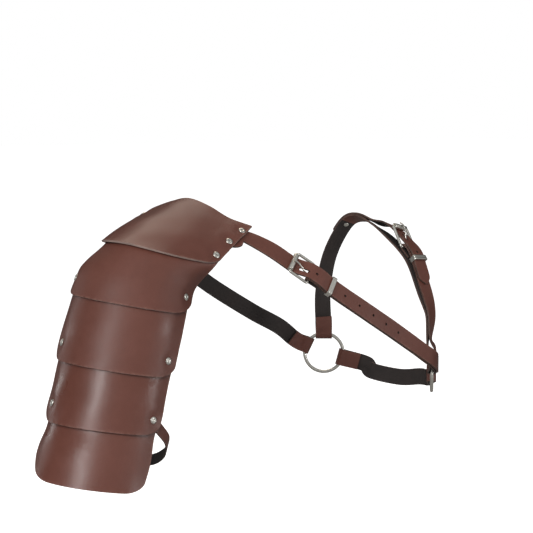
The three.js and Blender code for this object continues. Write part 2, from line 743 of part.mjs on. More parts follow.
const underarm = line([
  ringSeat(FRONT_RING, -15, 0, 47),
  ringSeat(FRONT_RING, -15, 26, 53),
  ...UNDERARM_ROWS,
  ringSeat(REAR_RING, 195, 26, 134),
  ringSeat(REAR_RING, 195, 0, 140),
]);
const underarmSide = [
  ...fromRing(),
  ...eased([[51, 0], [underarm.length - 51, 0]]),
  ...roundRing(underarm.length),
];
place("underarm_strap", ribbon(underarm, underarmSide, STRAP), "leather");

// Arm strap: a loop round the inside of the arm between the rivets of the third lame

function armSeat({ from, angle, down, out }) {
  const end = armEnds[from].at.clone().sub(ARM_CENTRE);
  const start = Math.atan2(end.dot(ARM_FRONT), end.dot(ARM_OUT)) / DEG;
  const radius = Math.hypot(end.dot(ARM_FRONT), end.dot(ARM_OUT));
  const turned = start + angle + (from === "back" ? 360 : 0);
  const at = onArm(end.dot(ARM_DOWN) + down, turned, radius + out);
  const facing = onArm(0, turned, 1).sub(ARM_CENTRE);
  return { x: at.x, y: at.y, z: at.z, turn: turned - 90, rise: Math.asin(facing.z) / DEG };
}

const aroundArm = line(ARM_STRAP_ROWS.map(armSeat));
const armSide = eased([[0, 0, ARM_STRAP_WIDTH], [aroundArm.length, 0, ARM_STRAP_WIDTH]]);
let armStrap = ribbon(aroundArm, armSide, ARM_STRAP);
for (const { at, along } of Object.values(armEnds)) {
  armStrap = drill(armStrap, at, along, RIVET_SHANK + 0.3, 5);
}
place("arm_strap", armStrap, "leather");

for (const plate of plates) {
  place(plate.name, plate.body, "leather");
}

export default pauldron;
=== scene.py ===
"""Looks of a brown leather pauldron with its harness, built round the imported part."""

import math

import bpy
import numpy as np
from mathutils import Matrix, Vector
from mathutils.geometry import delaunay_2d_cdt


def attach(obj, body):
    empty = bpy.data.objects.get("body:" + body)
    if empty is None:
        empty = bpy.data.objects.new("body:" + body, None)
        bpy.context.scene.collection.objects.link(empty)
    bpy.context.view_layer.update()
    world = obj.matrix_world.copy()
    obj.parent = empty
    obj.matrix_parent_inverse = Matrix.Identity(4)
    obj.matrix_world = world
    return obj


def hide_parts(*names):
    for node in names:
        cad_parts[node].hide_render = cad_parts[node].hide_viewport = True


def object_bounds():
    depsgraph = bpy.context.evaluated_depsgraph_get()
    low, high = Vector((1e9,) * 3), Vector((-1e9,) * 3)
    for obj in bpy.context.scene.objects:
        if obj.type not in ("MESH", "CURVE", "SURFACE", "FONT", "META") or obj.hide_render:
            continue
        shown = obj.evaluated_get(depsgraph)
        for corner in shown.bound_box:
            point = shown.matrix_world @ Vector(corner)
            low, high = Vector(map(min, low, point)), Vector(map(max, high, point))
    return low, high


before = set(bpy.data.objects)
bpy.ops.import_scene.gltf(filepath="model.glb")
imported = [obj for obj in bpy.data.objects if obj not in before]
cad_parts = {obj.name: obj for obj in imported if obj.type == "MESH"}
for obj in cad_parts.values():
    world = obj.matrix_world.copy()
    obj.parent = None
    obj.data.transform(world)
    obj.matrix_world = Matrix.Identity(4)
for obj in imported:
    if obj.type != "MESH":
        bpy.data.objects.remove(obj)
CAD_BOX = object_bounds()

bl_info = {
    "name": "Leather pauldron",
    "version": (1, 0, 0),
    "blender": (4, 5, 0),
    "location": "View3D > Sidebar > Pauldron",
    "description": "Builds the leather plates, straps and nickelled hardware of a pauldron",
    "category": "Add Mesh",
}

# Shapes are worked out in millimetres in the part's own frame, and scaled to metres when a mesh is made.
MM = 0.001

ARM_CENTRE = np.array([0.0, 0.0, -72.0])
ARM_DOWN = np.array([-0.24, 0.03, -1.0])
ARM_DOWN = ARM_DOWN / np.linalg.norm(ARM_DOWN)
ARM_OUT = np.array([-1.0, 0.0, 0.0]) + ARM_DOWN * ARM_DOWN[0]
ARM_OUT = ARM_OUT / np.linalg.norm(ARM_OUT)
ARM_FRONT = np.cross(ARM_OUT, ARM_DOWN)

GAP = 0.4
RING_FOLD = 4.05
RING_SAG = 0.9
TAB = 28.0
TAB_GAP = 1.4
TILT = 8.0

# Cap, from its back end to its front end: neck edge x y z, arm edge x y z, crown height
CAP_STATIONS = np.array([
    (45, 38, 9, 2, 48, -20, 1),
    (52, 31, 14, -17, 30, -17, 1.5),
    (62, 21, 19, -30, 5, -15, 2),
    (72, 8, 22, -28, -26, -16, 3),
    (81, -12, 15, -8, -51, -24, 3),
    (92, -31, 3, 22, -62, -32, 3),
    (107, -46, -4.5, 47, -66, -37, 2),
], float)

# Lames, from the top: tuck, proud, mid, mid radius, mid back and front angles, then the hem: distance down,
# radius, back and front angles, lift of the front end
LAMES = (
    (0.62, 2, -20, 56, -50, 124, 11, 62.5, -36, 110, 2),
    (0.75, 1, 42, 61.5, -33, 106, 75, 63.5, -31, 103, 4),
    (0.7, 1, 100, 60.5, -29, 103, 134, 62, -28, 100, 8),
    (0.7, 1, 155, 62, -27, 98, 188, 65, -25, 92, 5),
)

# Rough spans of the cap and of a lame, down and along the edge, and how many quads lie along and down
CAP_SPAN = (100, 190)
LAME_SPAN = (136, 165)
CAP_GRID = (150, 80)
LAME_GRID = (130, 100)

# Rounded lower corners: along the edge and up the end at the back, then the front, and the edge's sag
CAP_CORNERS = ((10, 10), (18, 11), 0)
LAME_CORNERS = ((24, 13), (24, 13), 5)
LAST_CORNERS = ((50, 24), (24, 13), 5)

# Rivets through two lames, and through the cap: u along the edge, v down it
LAME_RIVETS = {"back": (0.1, 0.845), "front": (0.925, 0.835)}
CAP_RIVETS = {
    "back": ((0.055, 0.17), (0.055, 0.52), (0.055, 0.87)),
    "front": ((0.965, 0.17), (0.95, 0.49), (0.945, 0.82)),
}

# Rivets: the domed head as a share of its radius and a height, and the foot as a radius and a height
RIVET_DOME = (
    (0.02, 1.02), (0.16, 1.0), (0.27, 1.06), (0.36, 1.26), (0.45, 1.38), (0.56, 1.38), (0.68, 1.28),
    (0.80, 1.08), (0.90, 0.82), (0.965, 0.55), (1.0, 0.28), (0.99, 0.08), (0.95, -0.05),
)
RIVET_FOOT = (
    (1.5, 0), (2.4, 0), (2.6, -0.15), (2.6, -0.5), (2.3, -0.75), (1.2, -0.9), (0.05, -0.92),
)
RIVET_SHANK = 1.5
RIVET_SINK = 0.35

# Polish of the cap and each lame, then spots rubbed brighter: u, v, radius, amount
POLISH = (
    (0.2, (0.87, 0.45, 40, -0.7)),
    (-0.5, (0.14, 0.80, 8, 0.6)),
    (-0.15, (0.18, 0.76, 9, 0.6), (0.84, 0.60, 10, 0.6)),
    (0.4, (0.17, 0.70, 9, 0.6), (0.87, 0.52, 13, 0.3), (0.87, 0.85, 14, -0.7)),
    (0.55, (0.14, 0.58, 10, 0.3), (0.90, 0.70, 26, -0.8), (0.12, 0.85, 16, -0.6)),
)

# Rings: centre x y z and the turn of their plane
FRONT_RING = (316, -79, -156, 47)
REAR_RING = (312, 82, -150, 140)

# Strap lines: x y z, then the way the strap faces as a turn and a rise in degrees
CHEST_ROWS = (
    (115, -64, -25.5, -8, 28), (135, -75, -41, -6, 24), (153, -85, -54, -4, 20),
    (181, -96, -73, 0, 14), (212, -103, -93, 6, 8), (248, -104, -114, 14, 4),
)
BACK_ROWS = (
    (66, 60, -12, -165, 28), (110, 83, -38, -172, 12), (165, 96, -70, -180, 4),
    (225, 98, -102, -190, 0), (262, 97, -120, -200, 0),
)
SHOULDER_ROWS = (
    (311.5, 83, -86, 160, 8), (316, 77, -46, 165, 27), (320, 56, -13, 146, 57),
    (321, 34, -6, 90, 66), (320, 11, -13, 53, 59), (318, -18, -25, 28, 56),
    (321, -45, -46, 11, 41), (321, -62, -75, 8, 22), (321.5, -69.5, -99, 22, 10),
)
UNDERARM_ROWS = ((344, -32, -168, 74, 0), (349, 4, -172, 92, 0), (342, 40, -168, 112, 0))

# Places on the strap lines, how far the tongues lean aside, and the slots that let the tongues through
CHEST_BUCKLE_AT = (133.2, -74, -39.6)
SHOULDER_BUCKLE_AT = (318, -18, -25)
SHOULDER_RIVET_AT = (320, 56, -13)
CHEST_LEAN = -3.0
SHOULDER_LEAN = 0.0
SLOT_HALF = 1.7
HEEL_SLOT = 7
UNDER_LAYER_SHIFT = 3.4
TAB_EDGE = 0.21
CHEST_HOLES = 7
KEEPER_RIDGE = 0.28

# Arm strap: the end it is measured from, angle round the arm, distance down it, distance out
ARM_STRAP_ROWS = (
    ("front", -9, -2, -0.8), ("front", 0, 0, 0), ("front", 9, 3, -0.8), ("front", 19, 8, 1),
    ("front", 34, 17, 4), ("front", 58, 30, 1), ("front", 92, 40, -2), ("back", -106, 42, -2),
    ("back", -68, 37, -1), ("back", -36, 24, 0), ("back", -15, 8, -1), ("back", 0, 0, 0),
    ("back", 9, -3, -0.8),
)

EYE = Vector((-1.4959, -1.9782, 0.1328))
TARGET = Vector((0.1712, 0.0086, -0.0486))

# Softboxes: right, up and towards the camera, distance, width, height, watts, warmth, seen in the gloss
SOFTBOXES = {
    "strip": (-0.50, 0.18, 0.85, 2.2, 0.24, 0.62, 16.0, 0.0, True),
    "key": (-0.08, 0.36, 0.93, 3.0, 1.3, 0.9, 42.0, 0.0, False),
    "right_edge": (0.93, -0.10, 0.36, 2.0, 0.20, 0.4, 7.0, 0.0, True),
    "left_edge": (-0.88, 0.18, -0.45, 2.0, 0.30, 0.5, 2.2, 0.0, True),
    "top": (-0.07, 0.87, -0.49, 1.8, 1.1, 0.8, 8.0, 0.25, True),
}


# Sizes and colours

def size(name, description, default):
    return bpy.props.FloatProperty(
        name=name, description=description, default=default, min=0.0, precision=5, unit="LENGTH")


def colour(name, description, default):
    return bpy.props.FloatVectorProperty(
        name=name, description=description, default=default, min=0.0, max=1.0, size=3, subtype="COLOR")


def share(name, description, default):
    return bpy.props.FloatProperty(
        name=name, description=description, default=default, min=0.0, max=1.0, subtype="FACTOR")


class PauldronSizes(bpy.types.PropertyGroup):
    plate: size("Plate thickness", "Leather of the cap and lames", 0.002)
    strap: size("Strap thickness", "Leather of the harness straps", 0.0018)
    strap_width: size("Strap width", "Width of the harness straps", 0.017)
    arm_strap: size("Arm strap thickness", "Leather of the arm strap", 0.0016)
    arm_strap_width: size("Arm strap width", "Width of the arm strap", 0.011)
    rounding: size("Edge rounding", "How far cut leather edges are rounded over", 0.0005)
    hole: size("Hole radius", "Punched holes of the billets", 0.0013)
    hole_pitch: size("Hole pitch", "Distance between punched holes", 0.0186)
    dimple: size("Rivet dimple", "How far a rivet draws the leather in", 0.0006)
    wave: size("Leather wave", "Height of the slow unevenness of the plates", 0.0003)
    rivet_head: size("Rivet head radius", "Radius of the domed heads", 0.0036)
    rod: size("Buckle rod radius", "Wire of the buckle frames", 0.0014)
    roller: size("Roller radius", "Outside of the buckle rollers", 0.00275)
    tongue: size("Tongue radius", "Wire of the buckle tongues", 0.00095)
    buckle_length: size("Buckle length", "From the roller to the heel bar", 0.021)
    buckle_half: size("Buckle half width", "Middle of the frame to its side rods", 0.0113)
    keeper_length: size("Keeper length", "Width of the metal loops along the strap", 0.0046)
    keeper_wall: size("Keeper wall", "Sheet of the metal loops", 0.001)
    ring: size("Ring radius", "To the middle of the ring's rod", 0.0203)
    ring_rod: size("Ring rod radius", "Wire of the rings", 0.00175)


class PauldronFinish(bpy.types.PropertyGroup):
    leather: colour("Leather", "Dyed face of the leather", (0.108, 0.036, 0.0245))
    leather_light: colour("Leather, light", "Lighter drifts of the dye", (0.128, 0.044, 0.031))
    edge: colour("Cut edge", "Undyed core at the cut edges", (0.34, 0.245, 0.215))
    strap_edge: colour("Strap edge", "Dyed edges of the straps", (0.10, 0.056, 0.044))
    # The reverse colour is also used as painted shade in punched holes and on the shoulder strap's
    # under-layer.
    reverse: colour("Reverse", "Dark flesh side of the leather", (0.018, 0.014, 0.013))
    steel: colour("Plating", "Nickelled steel", (0.86, 0.84, 0.77))
    grain: share("Grain", "Strength of the leather's grain", 0.16)
    gloss: share("Leather roughness", "Roughness of the finished face where it is not polished", 0.42)


class PauldronStudio(bpy.types.PropertyGroup):
    floor: colour("Floor", "Pale studio floor", (0.90, 0.90, 0.90))
    floor_drop: size("Floor drop", "From the lowest point down to the floor", 0.08)
    lens: bpy.props.FloatProperty(
        name="Lens", description="Focal length of the camera in millimetres", default=175.6, min=1.0)


# Curves, skins and strap lines

def unit(v):
    return v / np.linalg.norm(v, axis=-1, keepdims=True)


def through(points, t):
    """Points at t, from 0 to 1, on a smooth curve through points, which may differ from sample to sample."""
    points = np.asarray(points, float)
    t = np.asarray(t, float)
    last = points.shape[-2] - 1
    first_out = 2 * points[..., :1, :] - points[..., 1:2, :]
    last_out = 2 * points[..., -1:, :] - points[..., -2:-1, :]
    padded = np.concatenate([first_out, points, last_out], axis=-2)
    place = np.clip(t, 0, 1) * last
    k = np.minimum(place.astype(int), last - 1)
    f = (place - k)[..., None]
    if points.ndim == 2:
        a, b, c, d = (padded[k + i] for i in range(4))
    else:
        rows = np.arange(len(points))
        a, b, c, d = (padded[rows, k + i] for i in range(4))
    square = 2 * a - 5 * b + 4 * c - d
    cube = 3 * b - a - 3 * c + d
    return 0.5 * (2 * b + (c - a) * f + square * f ** 2 + cube * f ** 3)


class Skin:
    """A smooth surface through a net of points: u from back to front, v from top to bottom."""

    def __init__(self, net):
        self.net = np.asarray(net, float)

    def at(self, u, v):
        u, v = np.broadcast_arrays(np.atleast_1d(np.asarray(u, float)), np.asarray(v, float))
        rows, stations, _ = self.net.shape
        across = through(self.net.transpose(1, 0, 2).reshape(stations, rows * 3), u)
        return through(across.reshape(-1, rows, 3), v)

    def normal(self, u, v):
        step = 0.004
        u, v = np.broadcast_arrays(np.atleast_1d(np.asarray(u, float)), np.asarray(v, float))
        du = self.at(np.minimum(u + step, 1), v) - self.at(np.maximum(u - step, 0), v)
        dv = self.at(u, np.minimum(v + step, 1)) - self.at(u, np.maximum(v - step, 0))
        return unit(np.cross(dv, du))

    def under(self, u, v, depth):
        return self.at(u, v) - self.normal(u, v) * depth


def on_arm(down, angle, radius):
    angle = np.radians(np.atleast_1d(angle))[:, None]
    return ARM_CENTRE + ARM_DOWN * down + radius * (ARM_OUT * np.cos(angle) + ARM_FRONT * np.sin(angle))


def cap_skin():
    neck = CAP_STATIONS[:, 0:3]
    arm = CAP_STATIONS[:, 3:6]
    u = np.linspace(0, 1, len(CAP_STATIONS))
    flat = Skin([neck, arm])
    crown = flat.at(u, 0.5) + flat.normal(u, 0.5) * CAP_STATIONS[:, 6:7]
    return Skin([neck, crown, arm])


def lame_skin(above, row, plate):
    tuck, proud, mid, mid_r, mid_back, mid_front, bottom, bottom_r, back, front, lift = row
    u = np.linspace(0, 1, 9)
    hem = np.vstack([on_arm(bottom - lift * x, back + (front - back) * x, bottom_r) for x in u])
    return Skin([
        above.under(u, tuck, plate + 3.3 * GAP),
        above.under(u, (1 + tuck) / 2, plate + 3.3 * GAP),
        above.under(u, 1, plate + 2.5 * GAP + proud),
        on_arm(mid, mid_back + (mid_front - mid_back) * u, mid_r),
        hem,
    ])


def all_skins(plate):
    skins = [cap_skin()]
    for row in LAMES:
        skins.append(lame_skin(skins[-1], row, plate))
    return skins


def depth_under(skin, at, along):
    """How far below a point, against along, the skin lies."""
    u0, v0, span = 0.5, 0.5, 0.5
    while span > 0.001:
        grid = np.linspace(-span, span, 13)
        u, v = (np.clip(g.ravel(), 0, 1) for g in np.meshgrid(u0 + grid, v0 + grid))
        away = skin.at(u, v) - at
        depth = -away @ along
        off = np.linalg.norm(away + depth[:, None] * along, axis=1)
        best = int(np.argmin(off))
        u0, v0, span = u[best], v[best], span * 0.3
    return depth[best]


class Line:
    """A strap's line over the body, with the way the strap faces along it."""

    def __init__(self, rows):
        rows = np.asarray(rows, float)
        self.points = rows[:, :3]
        self.facing = np.radians(rows[:, 3:])
        self.t = np.linspace(0, 1, 4001)
        steps = np.linalg.norm(np.diff(through(self.points, self.t), axis=0), axis=1)
        self.reach = np.concatenate([[0], np.cumsum(steps)])
        self.length = self.reach[-1]

    def at(self, s, lift, aside):
        s, lift, aside = np.broadcast_arrays(*(np.atleast_1d(np.asarray(x, float)) for x in (s, lift, aside)))
        inside = np.clip(s, 0, self.length)
        t = np.interp(inside, self.reach, self.t)
        step = 1e-4
        ahead = through(self.points, np.minimum(t + step, 1))
        along = unit(ahead - through(self.points, np.maximum(t - step, 0)))
        turn, rise = through(self.facing, t).T
        face = np.stack([np.sin(turn) * np.cos(rise), -np.cos(turn) * np.cos(rise), np.sin(rise)], axis=1)
        face = unit(face - along * np.sum(face * along, axis=1, keepdims=True))
        across = np.cross(face, along)
        base = through(self.points, t) + along * (s - inside)[:, None]
        return base + face * lift[:, None] + across * aside[:, None]

    def nearest(self, point):
        s = np.arange(0, self.length, 0.5)
        return float(s[np.argmin(np.linalg.norm(self.at(s, 0, 0) - np.asarray(point, float), axis=1))])


def ring_seat(ring, radius, angle, beyond, turn, rise=0.0):
    x, y, z, plane = ring
    reach = radius + beyond
    level = reach * math.cos(math.radians(angle))
    c, s = math.cos(math.radians(plane)), math.sin(math.radians(plane))
    return (x + level * c - RING_FOLD * s, y + level * s + RING_FOLD * c,
            z + reach * math.sin(math.radians(angle)), turn, rise)


def under_cap(cap, sizes, u, v):
    at = cap.under(u, v, sizes.plate / MM / 2 + TAB_GAP + sizes.strap / MM / 2)[0]
    facing = cap.normal(u, v)[0]
    turn = math.degrees(math.atan2(facing[0], -facing[1]))
    return (*at, turn, math.degrees(math.asin(facing[2])))


# The side view of a strap: distance along its line, lift off it, and width

def eased(knots, step=1.4):
    """Evenly spaced points on a smooth curve through knots that lie unevenly apart."""
    knots = np.asarray(knots, float)
    padded = np.vstack([2 * knots[0] - knots[1], knots, 2 * knots[-1] - knots[-2]])
    gaps = np.linalg.norm(np.diff(padded, axis=0), axis=1)[:, None]
    slopes = np.diff(padded, axis=0) / gaps
    wide_slopes = (padded[2:] - padded[:-2]) / (gaps[1:] + gaps[:-1])
    tangents = slopes[1:] + slopes[:-1] - wide_slopes
    t = np.linspace(0, 1, 40, endpoint=False)[:, None]
    dense = []
    for i, gap in enumerate(gaps[1:-1]):
        a, b = knots[i], knots[i + 1]
        m, n = tangents[i] * gap, tangents[i + 1] * gap
        dense.append(a + m * t + (3 * (b - a) - 2 * m - n) * t ** 2 + (2 * (a - b) + m + n) * t ** 3)
    dense = np.vstack([*dense, knots[-1:]])
    reach = np.concatenate([[0], np.cumsum(np.linalg.norm(np.diff(dense, axis=0), axis=1))])
    want = np.linspace(0, reach[-1], max(2, int(reach[-1] / step) + 1))
    return np.stack([np.interp(want, reach, dense[:, i]) for i in range(3)], axis=1)


def wide(width, *knots):
    return [(s, lift, width) for s, lift in knots]


def fold(s, lift, radius, start, end, width):
    angle = np.radians(np.linspace(start, end, 15))
    return np.stack([s + radius * np.cos(angle), lift + radius * np.sin(angle), np.full(15, width)], axis=1)


def round_ring(end, width):
    top = 2 * RING_FOLD
    out = wide(width, (end - 44, 0), (end - 32, 0.2), (end - 21, 2.3), (end - 9, 5.6), (end - 0.5, top))
    back = wide(width, (end - 0.5, 0), (end - 9, 0), (end - 18, 0))
    return np.vstack([eased(out), fold(end + RING_SAG, RING_FOLD, RING_FOLD, 90, -90, width), eased(back)])


def from_ring(width):
    return round_ring(0, width)[::-1] * np.array([-1, 1, 1])


def round_heel(buckle, width):
    heel, floor = buckle.heel, buckle.floor
    top = floor + 2 * buckle.fold
    short = wide(width, (heel + 12, floor), (heel + 6, floor), (heel + 0.5, floor))
    bend = fold(heel, buckle.heel_lift, buckle.fold, 270, 90, width)
    out = wide(width, (heel + 0.5, top), (heel + 8, top - 0.6), (heel + 20, floor + 1.9),
               (heel + 31, floor + 0.6), (heel + 40, floor))
    return np.vstack([eased(short), bend, eased(out)])


def through_buckle(buckle, width):
    s, heel, floor, tilt = buckle.roller, buckle.heel, buckle.floor, buckle.tilt
    over_heel, layer = buckle.over_heel, buckle.layer
    return wide(
        width, (s - 5, floor + tilt), (s + 2, floor + tilt + 0.1), (s + 11, floor + 0.5 * tilt + 3.6),
        (heel - 2, floor + over_heel - 0.2), (heel + 6, floor + over_heel), (heel + 12, floor + 6.9),
        (heel + 21, floor + 4.3), (heel + 31, floor + layer + 0.9), (heel + 40, floor + layer + 0.2))


def tab_end(edge, width):
    tab = [(0, 0, TAB), (edge - 14, 0, TAB), (edge - 9, 0, TAB - 4)]
    return [*tab, (edge - 3, 0, width), (edge + 6, 0, width)]


# Materials

def node(tree, kind, inputs=(), **values):
    made = tree.nodes.new(kind)
    for key, value in values.items():
        setattr(made, key, value)
    for key, value in dict(inputs).items():
        if isinstance(value, bpy.types.NodeSocket):
            tree.links.new(value, made.inputs[key])
        else:
            made.inputs[key].default_value = value
    return made


def group(name, inputs, outputs):
    tree = bpy.data.node_groups.new(name, "ShaderNodeTree")
    for label, default in inputs:
        socket = tree.interface.new_socket(name=label, in_out="INPUT", socket_type="NodeSocketFloat")
        socket.default_value = default
    for label in outputs:
        tree.interface.new_socket(name=label, in_out="OUTPUT", socket_type="NodeSocketFloat")
    return tree, tree.nodes.new("NodeGroupInput").outputs, tree.nodes.new("NodeGroupOutput").inputs


def math_node(tree, operation, a, b):
    return node(tree, "ShaderNodeMath", {0: a, 1: b}, operation=operation).outputs[0]


def grain_group():
    """Leather grain: small rounded cells parted by creases, with finer pores over them."""
    if "Leather grain" in bpy.data.node_groups:
        return bpy.data.node_groups["Leather grain"]
    tree, given, result = group("Leather grain", [("Cells", 900.0), ("Crease", 0.18)], ["Height", "Creases"])
    place = node(tree, "ShaderNodeTexCoord").outputs["Object"]
    cells = node(tree, "ShaderNodeTexVoronoi", {"Vector": place, "Scale": given["Cells"]},
                 feature="DISTANCE_TO_EDGE").outputs["Distance"]
    ridge = math_node(tree, "MINIMUM", math_node(tree, "DIVIDE", cells, given["Crease"]), 1.0)
    pores = node(tree, "ShaderNodeTexNoise", {
        "Vector": place, "Scale": math_node(tree, "MULTIPLY", given["Cells"], 2.3),
        "Detail": 2.0, "Roughness": 0.6}).outputs["Fac"]
    height = math_node(tree, "ADD", ridge, math_node(tree, "MULTIPLY", pores, 0.6))
    tree.links.new(height, result["Height"])
    tree.links.new(math_node(tree, "SUBTRACT", 1.0, ridge), result["Creases"])
    return tree


def drift_group():
    """Slow drift of colour and gloss: large cloudy patches broken by smaller ones."""
    if "Surface drift" in bpy.data.node_groups:
        return bpy.data.node_groups["Surface drift"]
    tree, given, result = group("Surface drift", [("Patches", 16.0), ("Specks", 130.0)], ["Drift"])
    place = node(tree, "ShaderNodeTexCoord").outputs["Object"]
    patches = node(tree, "ShaderNodeTexNoise", {
        "Vector": place, "Scale": given["Patches"], "Detail": 3.0, "Roughness": 0.55}).outputs["Fac"]
    specks = node(tree, "ShaderNodeTexNoise", {
        "Vector": place, "Scale": given["Specks"], "Detail": 3.0, "Roughness": 0.6}).outputs["Fac"]
    both = math_node(tree, "ADD", math_node(tree, "MULTIPLY", patches, 0.65),
                     math_node(tree, "MULTIPLY", specks, 0.35))
    spread = node(tree, "ShaderNodeMapRange", {"Value": both, "From Min": 0.34, "From Max": 0.66})
    tree.links.new(spread.outputs["Result"], result["Drift"])
    return tree


def edge_wear_and_highlight_group():
    """Wear along cut edges, which also serves as a painted highlight where rounded edges catch the light: the
    stored closeness to an edge, broken up so that it comes and goes.
    """
    if "Edge wear and highlight" in bpy.data.node_groups:
        return bpy.data.node_groups["Edge wear and highlight"]
    tree, given, result = group("Edge wear and highlight", [("Breaks", 260.0), ("Amount", 0.6)], ["Wear"])
    place = node(tree, "ShaderNodeTexCoord").outputs["Object"]
    near = node(tree, "ShaderNodeAttribute", attribute_name="edge").outputs["Fac"]
    breaks = node(tree, "ShaderNodeTexNoise", {
        "Vector": place, "Scale": given["Breaks"], "Detail": 3.0}).outputs["Fac"]
    patchy = node(tree, "ShaderNodeMapRange", {"Value": breaks, "From Min": 0.38, "From Max": 0.68})
    broken = math_node(tree, "MULTIPLY", near, patchy.outputs["Result"])
    worn = math_node(tree, "MULTIPLY", broken, given["Amount"])
    tree.links.new(worn, result["Wear"])
    return tree


def placed(tree, shared, **values):
    made = node(tree, "ShaderNodeGroup", node_tree=shared)
    for key, value in values.items():
        made.inputs[key].default_value = value
    return made.outputs


def mixed(tree, factor, a, b):
    made = node(tree, "ShaderNodeMix", data_type="RGBA")
    tree.links.new(factor, made.inputs["Factor"])
    for socket, value in ((made.inputs[6], a), (made.inputs[7], b)):
        if isinstance(value, bpy.types.NodeSocket):
            tree.links.new(value, socket)
        else:
            socket.default_value = (*value, 1.0)
    return made.outputs[2]


def ranged(tree, value, low, high):
    return node(tree, "ShaderNodeMapRange", {"Value": value, "To Min": low, "To Max": high}).outputs["Result"]


def material(name):
    made = bpy.data.materials.new(name)
    made.use_nodes = True
    tree = made.node_tree
    return made, tree, tree.nodes["Principled BSDF"].inputs


def bump(tree, height, strength, distance):
    made = node(tree, "ShaderNodeBump", {"Height": height, "Strength": strength, "Distance": distance})
    return made.outputs["Normal"]


def finished_leather():
    """Dyed and waxed face: brown with slow drift, fine grain with painted shade darkening its creases, and
    edges rubbed paler, which is partly wear and partly a painted highlight along the rounded edges.
    """
    if "Finished leather" in bpy.data.materials:
        return bpy.data.materials["Finished leather"]
    finish = bpy.context.scene.pauldron_finish
    made, tree, shader = material("Finished leather")
    drift = placed(tree, drift_group(), Patches=15.0, Specks=120.0)["Drift"]
    grain = placed(tree, grain_group(), Cells=950.0, Crease=0.16)
    wear = placed(tree, edge_wear_and_highlight_group(), Breaks=240.0, Amount=0.45)["Wear"]
    base = mixed(tree, drift, finish.leather, finish.leather_light)
    # Painted shade: the leather colour is darkened in the grain's creases.
    crease_shaded = mixed(tree, math_node(tree, "MULTIPLY", grain["Creases"], 0.22), base, (0.055, 0.020, 0.014))
    # Edges paler: partly wear, partly a painted highlight where the rounded edges catch the light.
    rubbed_and_lit = mixed(tree, wear, crease_shaded, (0.24, 0.13, 0.10))
    tree.links.new(rubbed_and_lit, shader["Base Color"])
    polish = node(tree, "ShaderNodeAttribute", attribute_name="polish").outputs["Fac"]
    rough = ranged(tree, drift, finish.gloss - 0.04, finish.gloss + 0.04)
    worn = math_node(tree, "ADD", rough, math_node(tree, "MULTIPLY", wear, 0.15))
    smooth = math_node(tree, "SUBTRACT", worn, math_node(tree, "MULTIPLY", polish, 0.22))
    tree.links.new(smooth, shader["Roughness"])
    tree.links.new(bump(tree, grain["Height"], finish.grain, 0.0002), shader["Normal"])
    shader["Specular IOR Level"].default_value = 0.5
    return made


def shaded(tint, amount):
    return tuple(amount * c for c in tint)


def drifting(name, patches, specks, tints, roughness, relief, metallic=0.0):
    """A finish whose colour, gloss and relief drift together, each between its two values."""
    if name in bpy.data.materials:
        return bpy.data.materials[name]
    made, tree, shader = material(name)
    drift = placed(tree, drift_group(), Patches=patches, Specks=specks)["Drift"]
    tree.links.new(mixed(tree, drift, *tints), shader["Base Color"])
    tree.links.new(ranged(tree, drift, *roughness), shader["Roughness"])
    tree.links.new(bump(tree, drift, *relief), shader["Normal"])
    shader["Metallic"].default_value = metallic
    return made


def cut_edge():
    """Bare core of the leather where it was cut: paler, fibrous and matt."""
    tint = bpy.context.scene.pauldron_finish.edge
    tints = (shaded(tint, 0.62), tint)
    return drifting("Cut leather edge", 60.0, 700.0, tints, (0.55, 0.75), (0.35, 0.0003))


def dyed_edge():
    """Edges of the straps: dyed with the face, a little paler where the dye has rubbed off."""
    tint = bpy.context.scene.pauldron_finish.strap_edge
    tints = (shaded(tint, 0.45), tint)
    return drifting("Dyed strap edge", 60.0, 700.0, tints, (0.5, 0.7), (0.3, 0.0003))


def dark_reverse_and_shade():
    """Flesh side: dyed nearly black, matt and slightly napped; also painted shade on the walls of punched
    holes and on the shoulder strap's under-layer.
    """
    tint = bpy.context.scene.pauldron_finish.reverse
    tints = (tint, shaded(tint, 2.2))
    return drifting("Leather reverse and painted shade", 40.0, 900.0, tints, (0.70, 0.92), (0.5, 0.0004))


def plated_steel():
    """Nickel plating: bright, with cloudy gloss and faint rubbing."""
    tint = bpy.context.scene.pauldron_finish.steel
    tints = (tint, shaded(tint, 0.80))
    return drifting("Nickelled steel", 220.0, 1500.0, tints, (0.26, 0.42), (0.06, 0.0002), 1.0)


def pale_floor():
    studio = bpy.context.scene.pauldron_studio
    made, tree, shader = material("Pale floor")
    drift = placed(tree, drift_group(), Patches=3.0, Specks=30.0)["Drift"]
    tree.links.new(mixed(tree, drift, shaded(studio.floor, 0.97), studio.floor), shader["Base Color"])
    shader["Roughness"].default_value = 0.9
    shader["Specular IOR Level"].default_value = 0.1
    shader["Emission Color"].default_value = (1.0, 1.0, 1.0, 1.0)
    shader["Emission Strength"].default_value = 0.92
    dim = node(tree, "ShaderNodeBsdfDiffuse", {"Color": (0.35, 0.35, 0.35, 1.0)})
    seen = node(tree, "ShaderNodeLightPath").outputs["Is Camera Ray"]
    both = node(tree, "ShaderNodeMixShader", {
        0: seen, 1: dim.outputs["BSDF"], 2: tree.nodes["Principled BSDF"].outputs["BSDF"]})
    tree.links.new(both.outputs["Shader"], tree.nodes["Material Output"].inputs["Surface"])
    return made


# Meshes

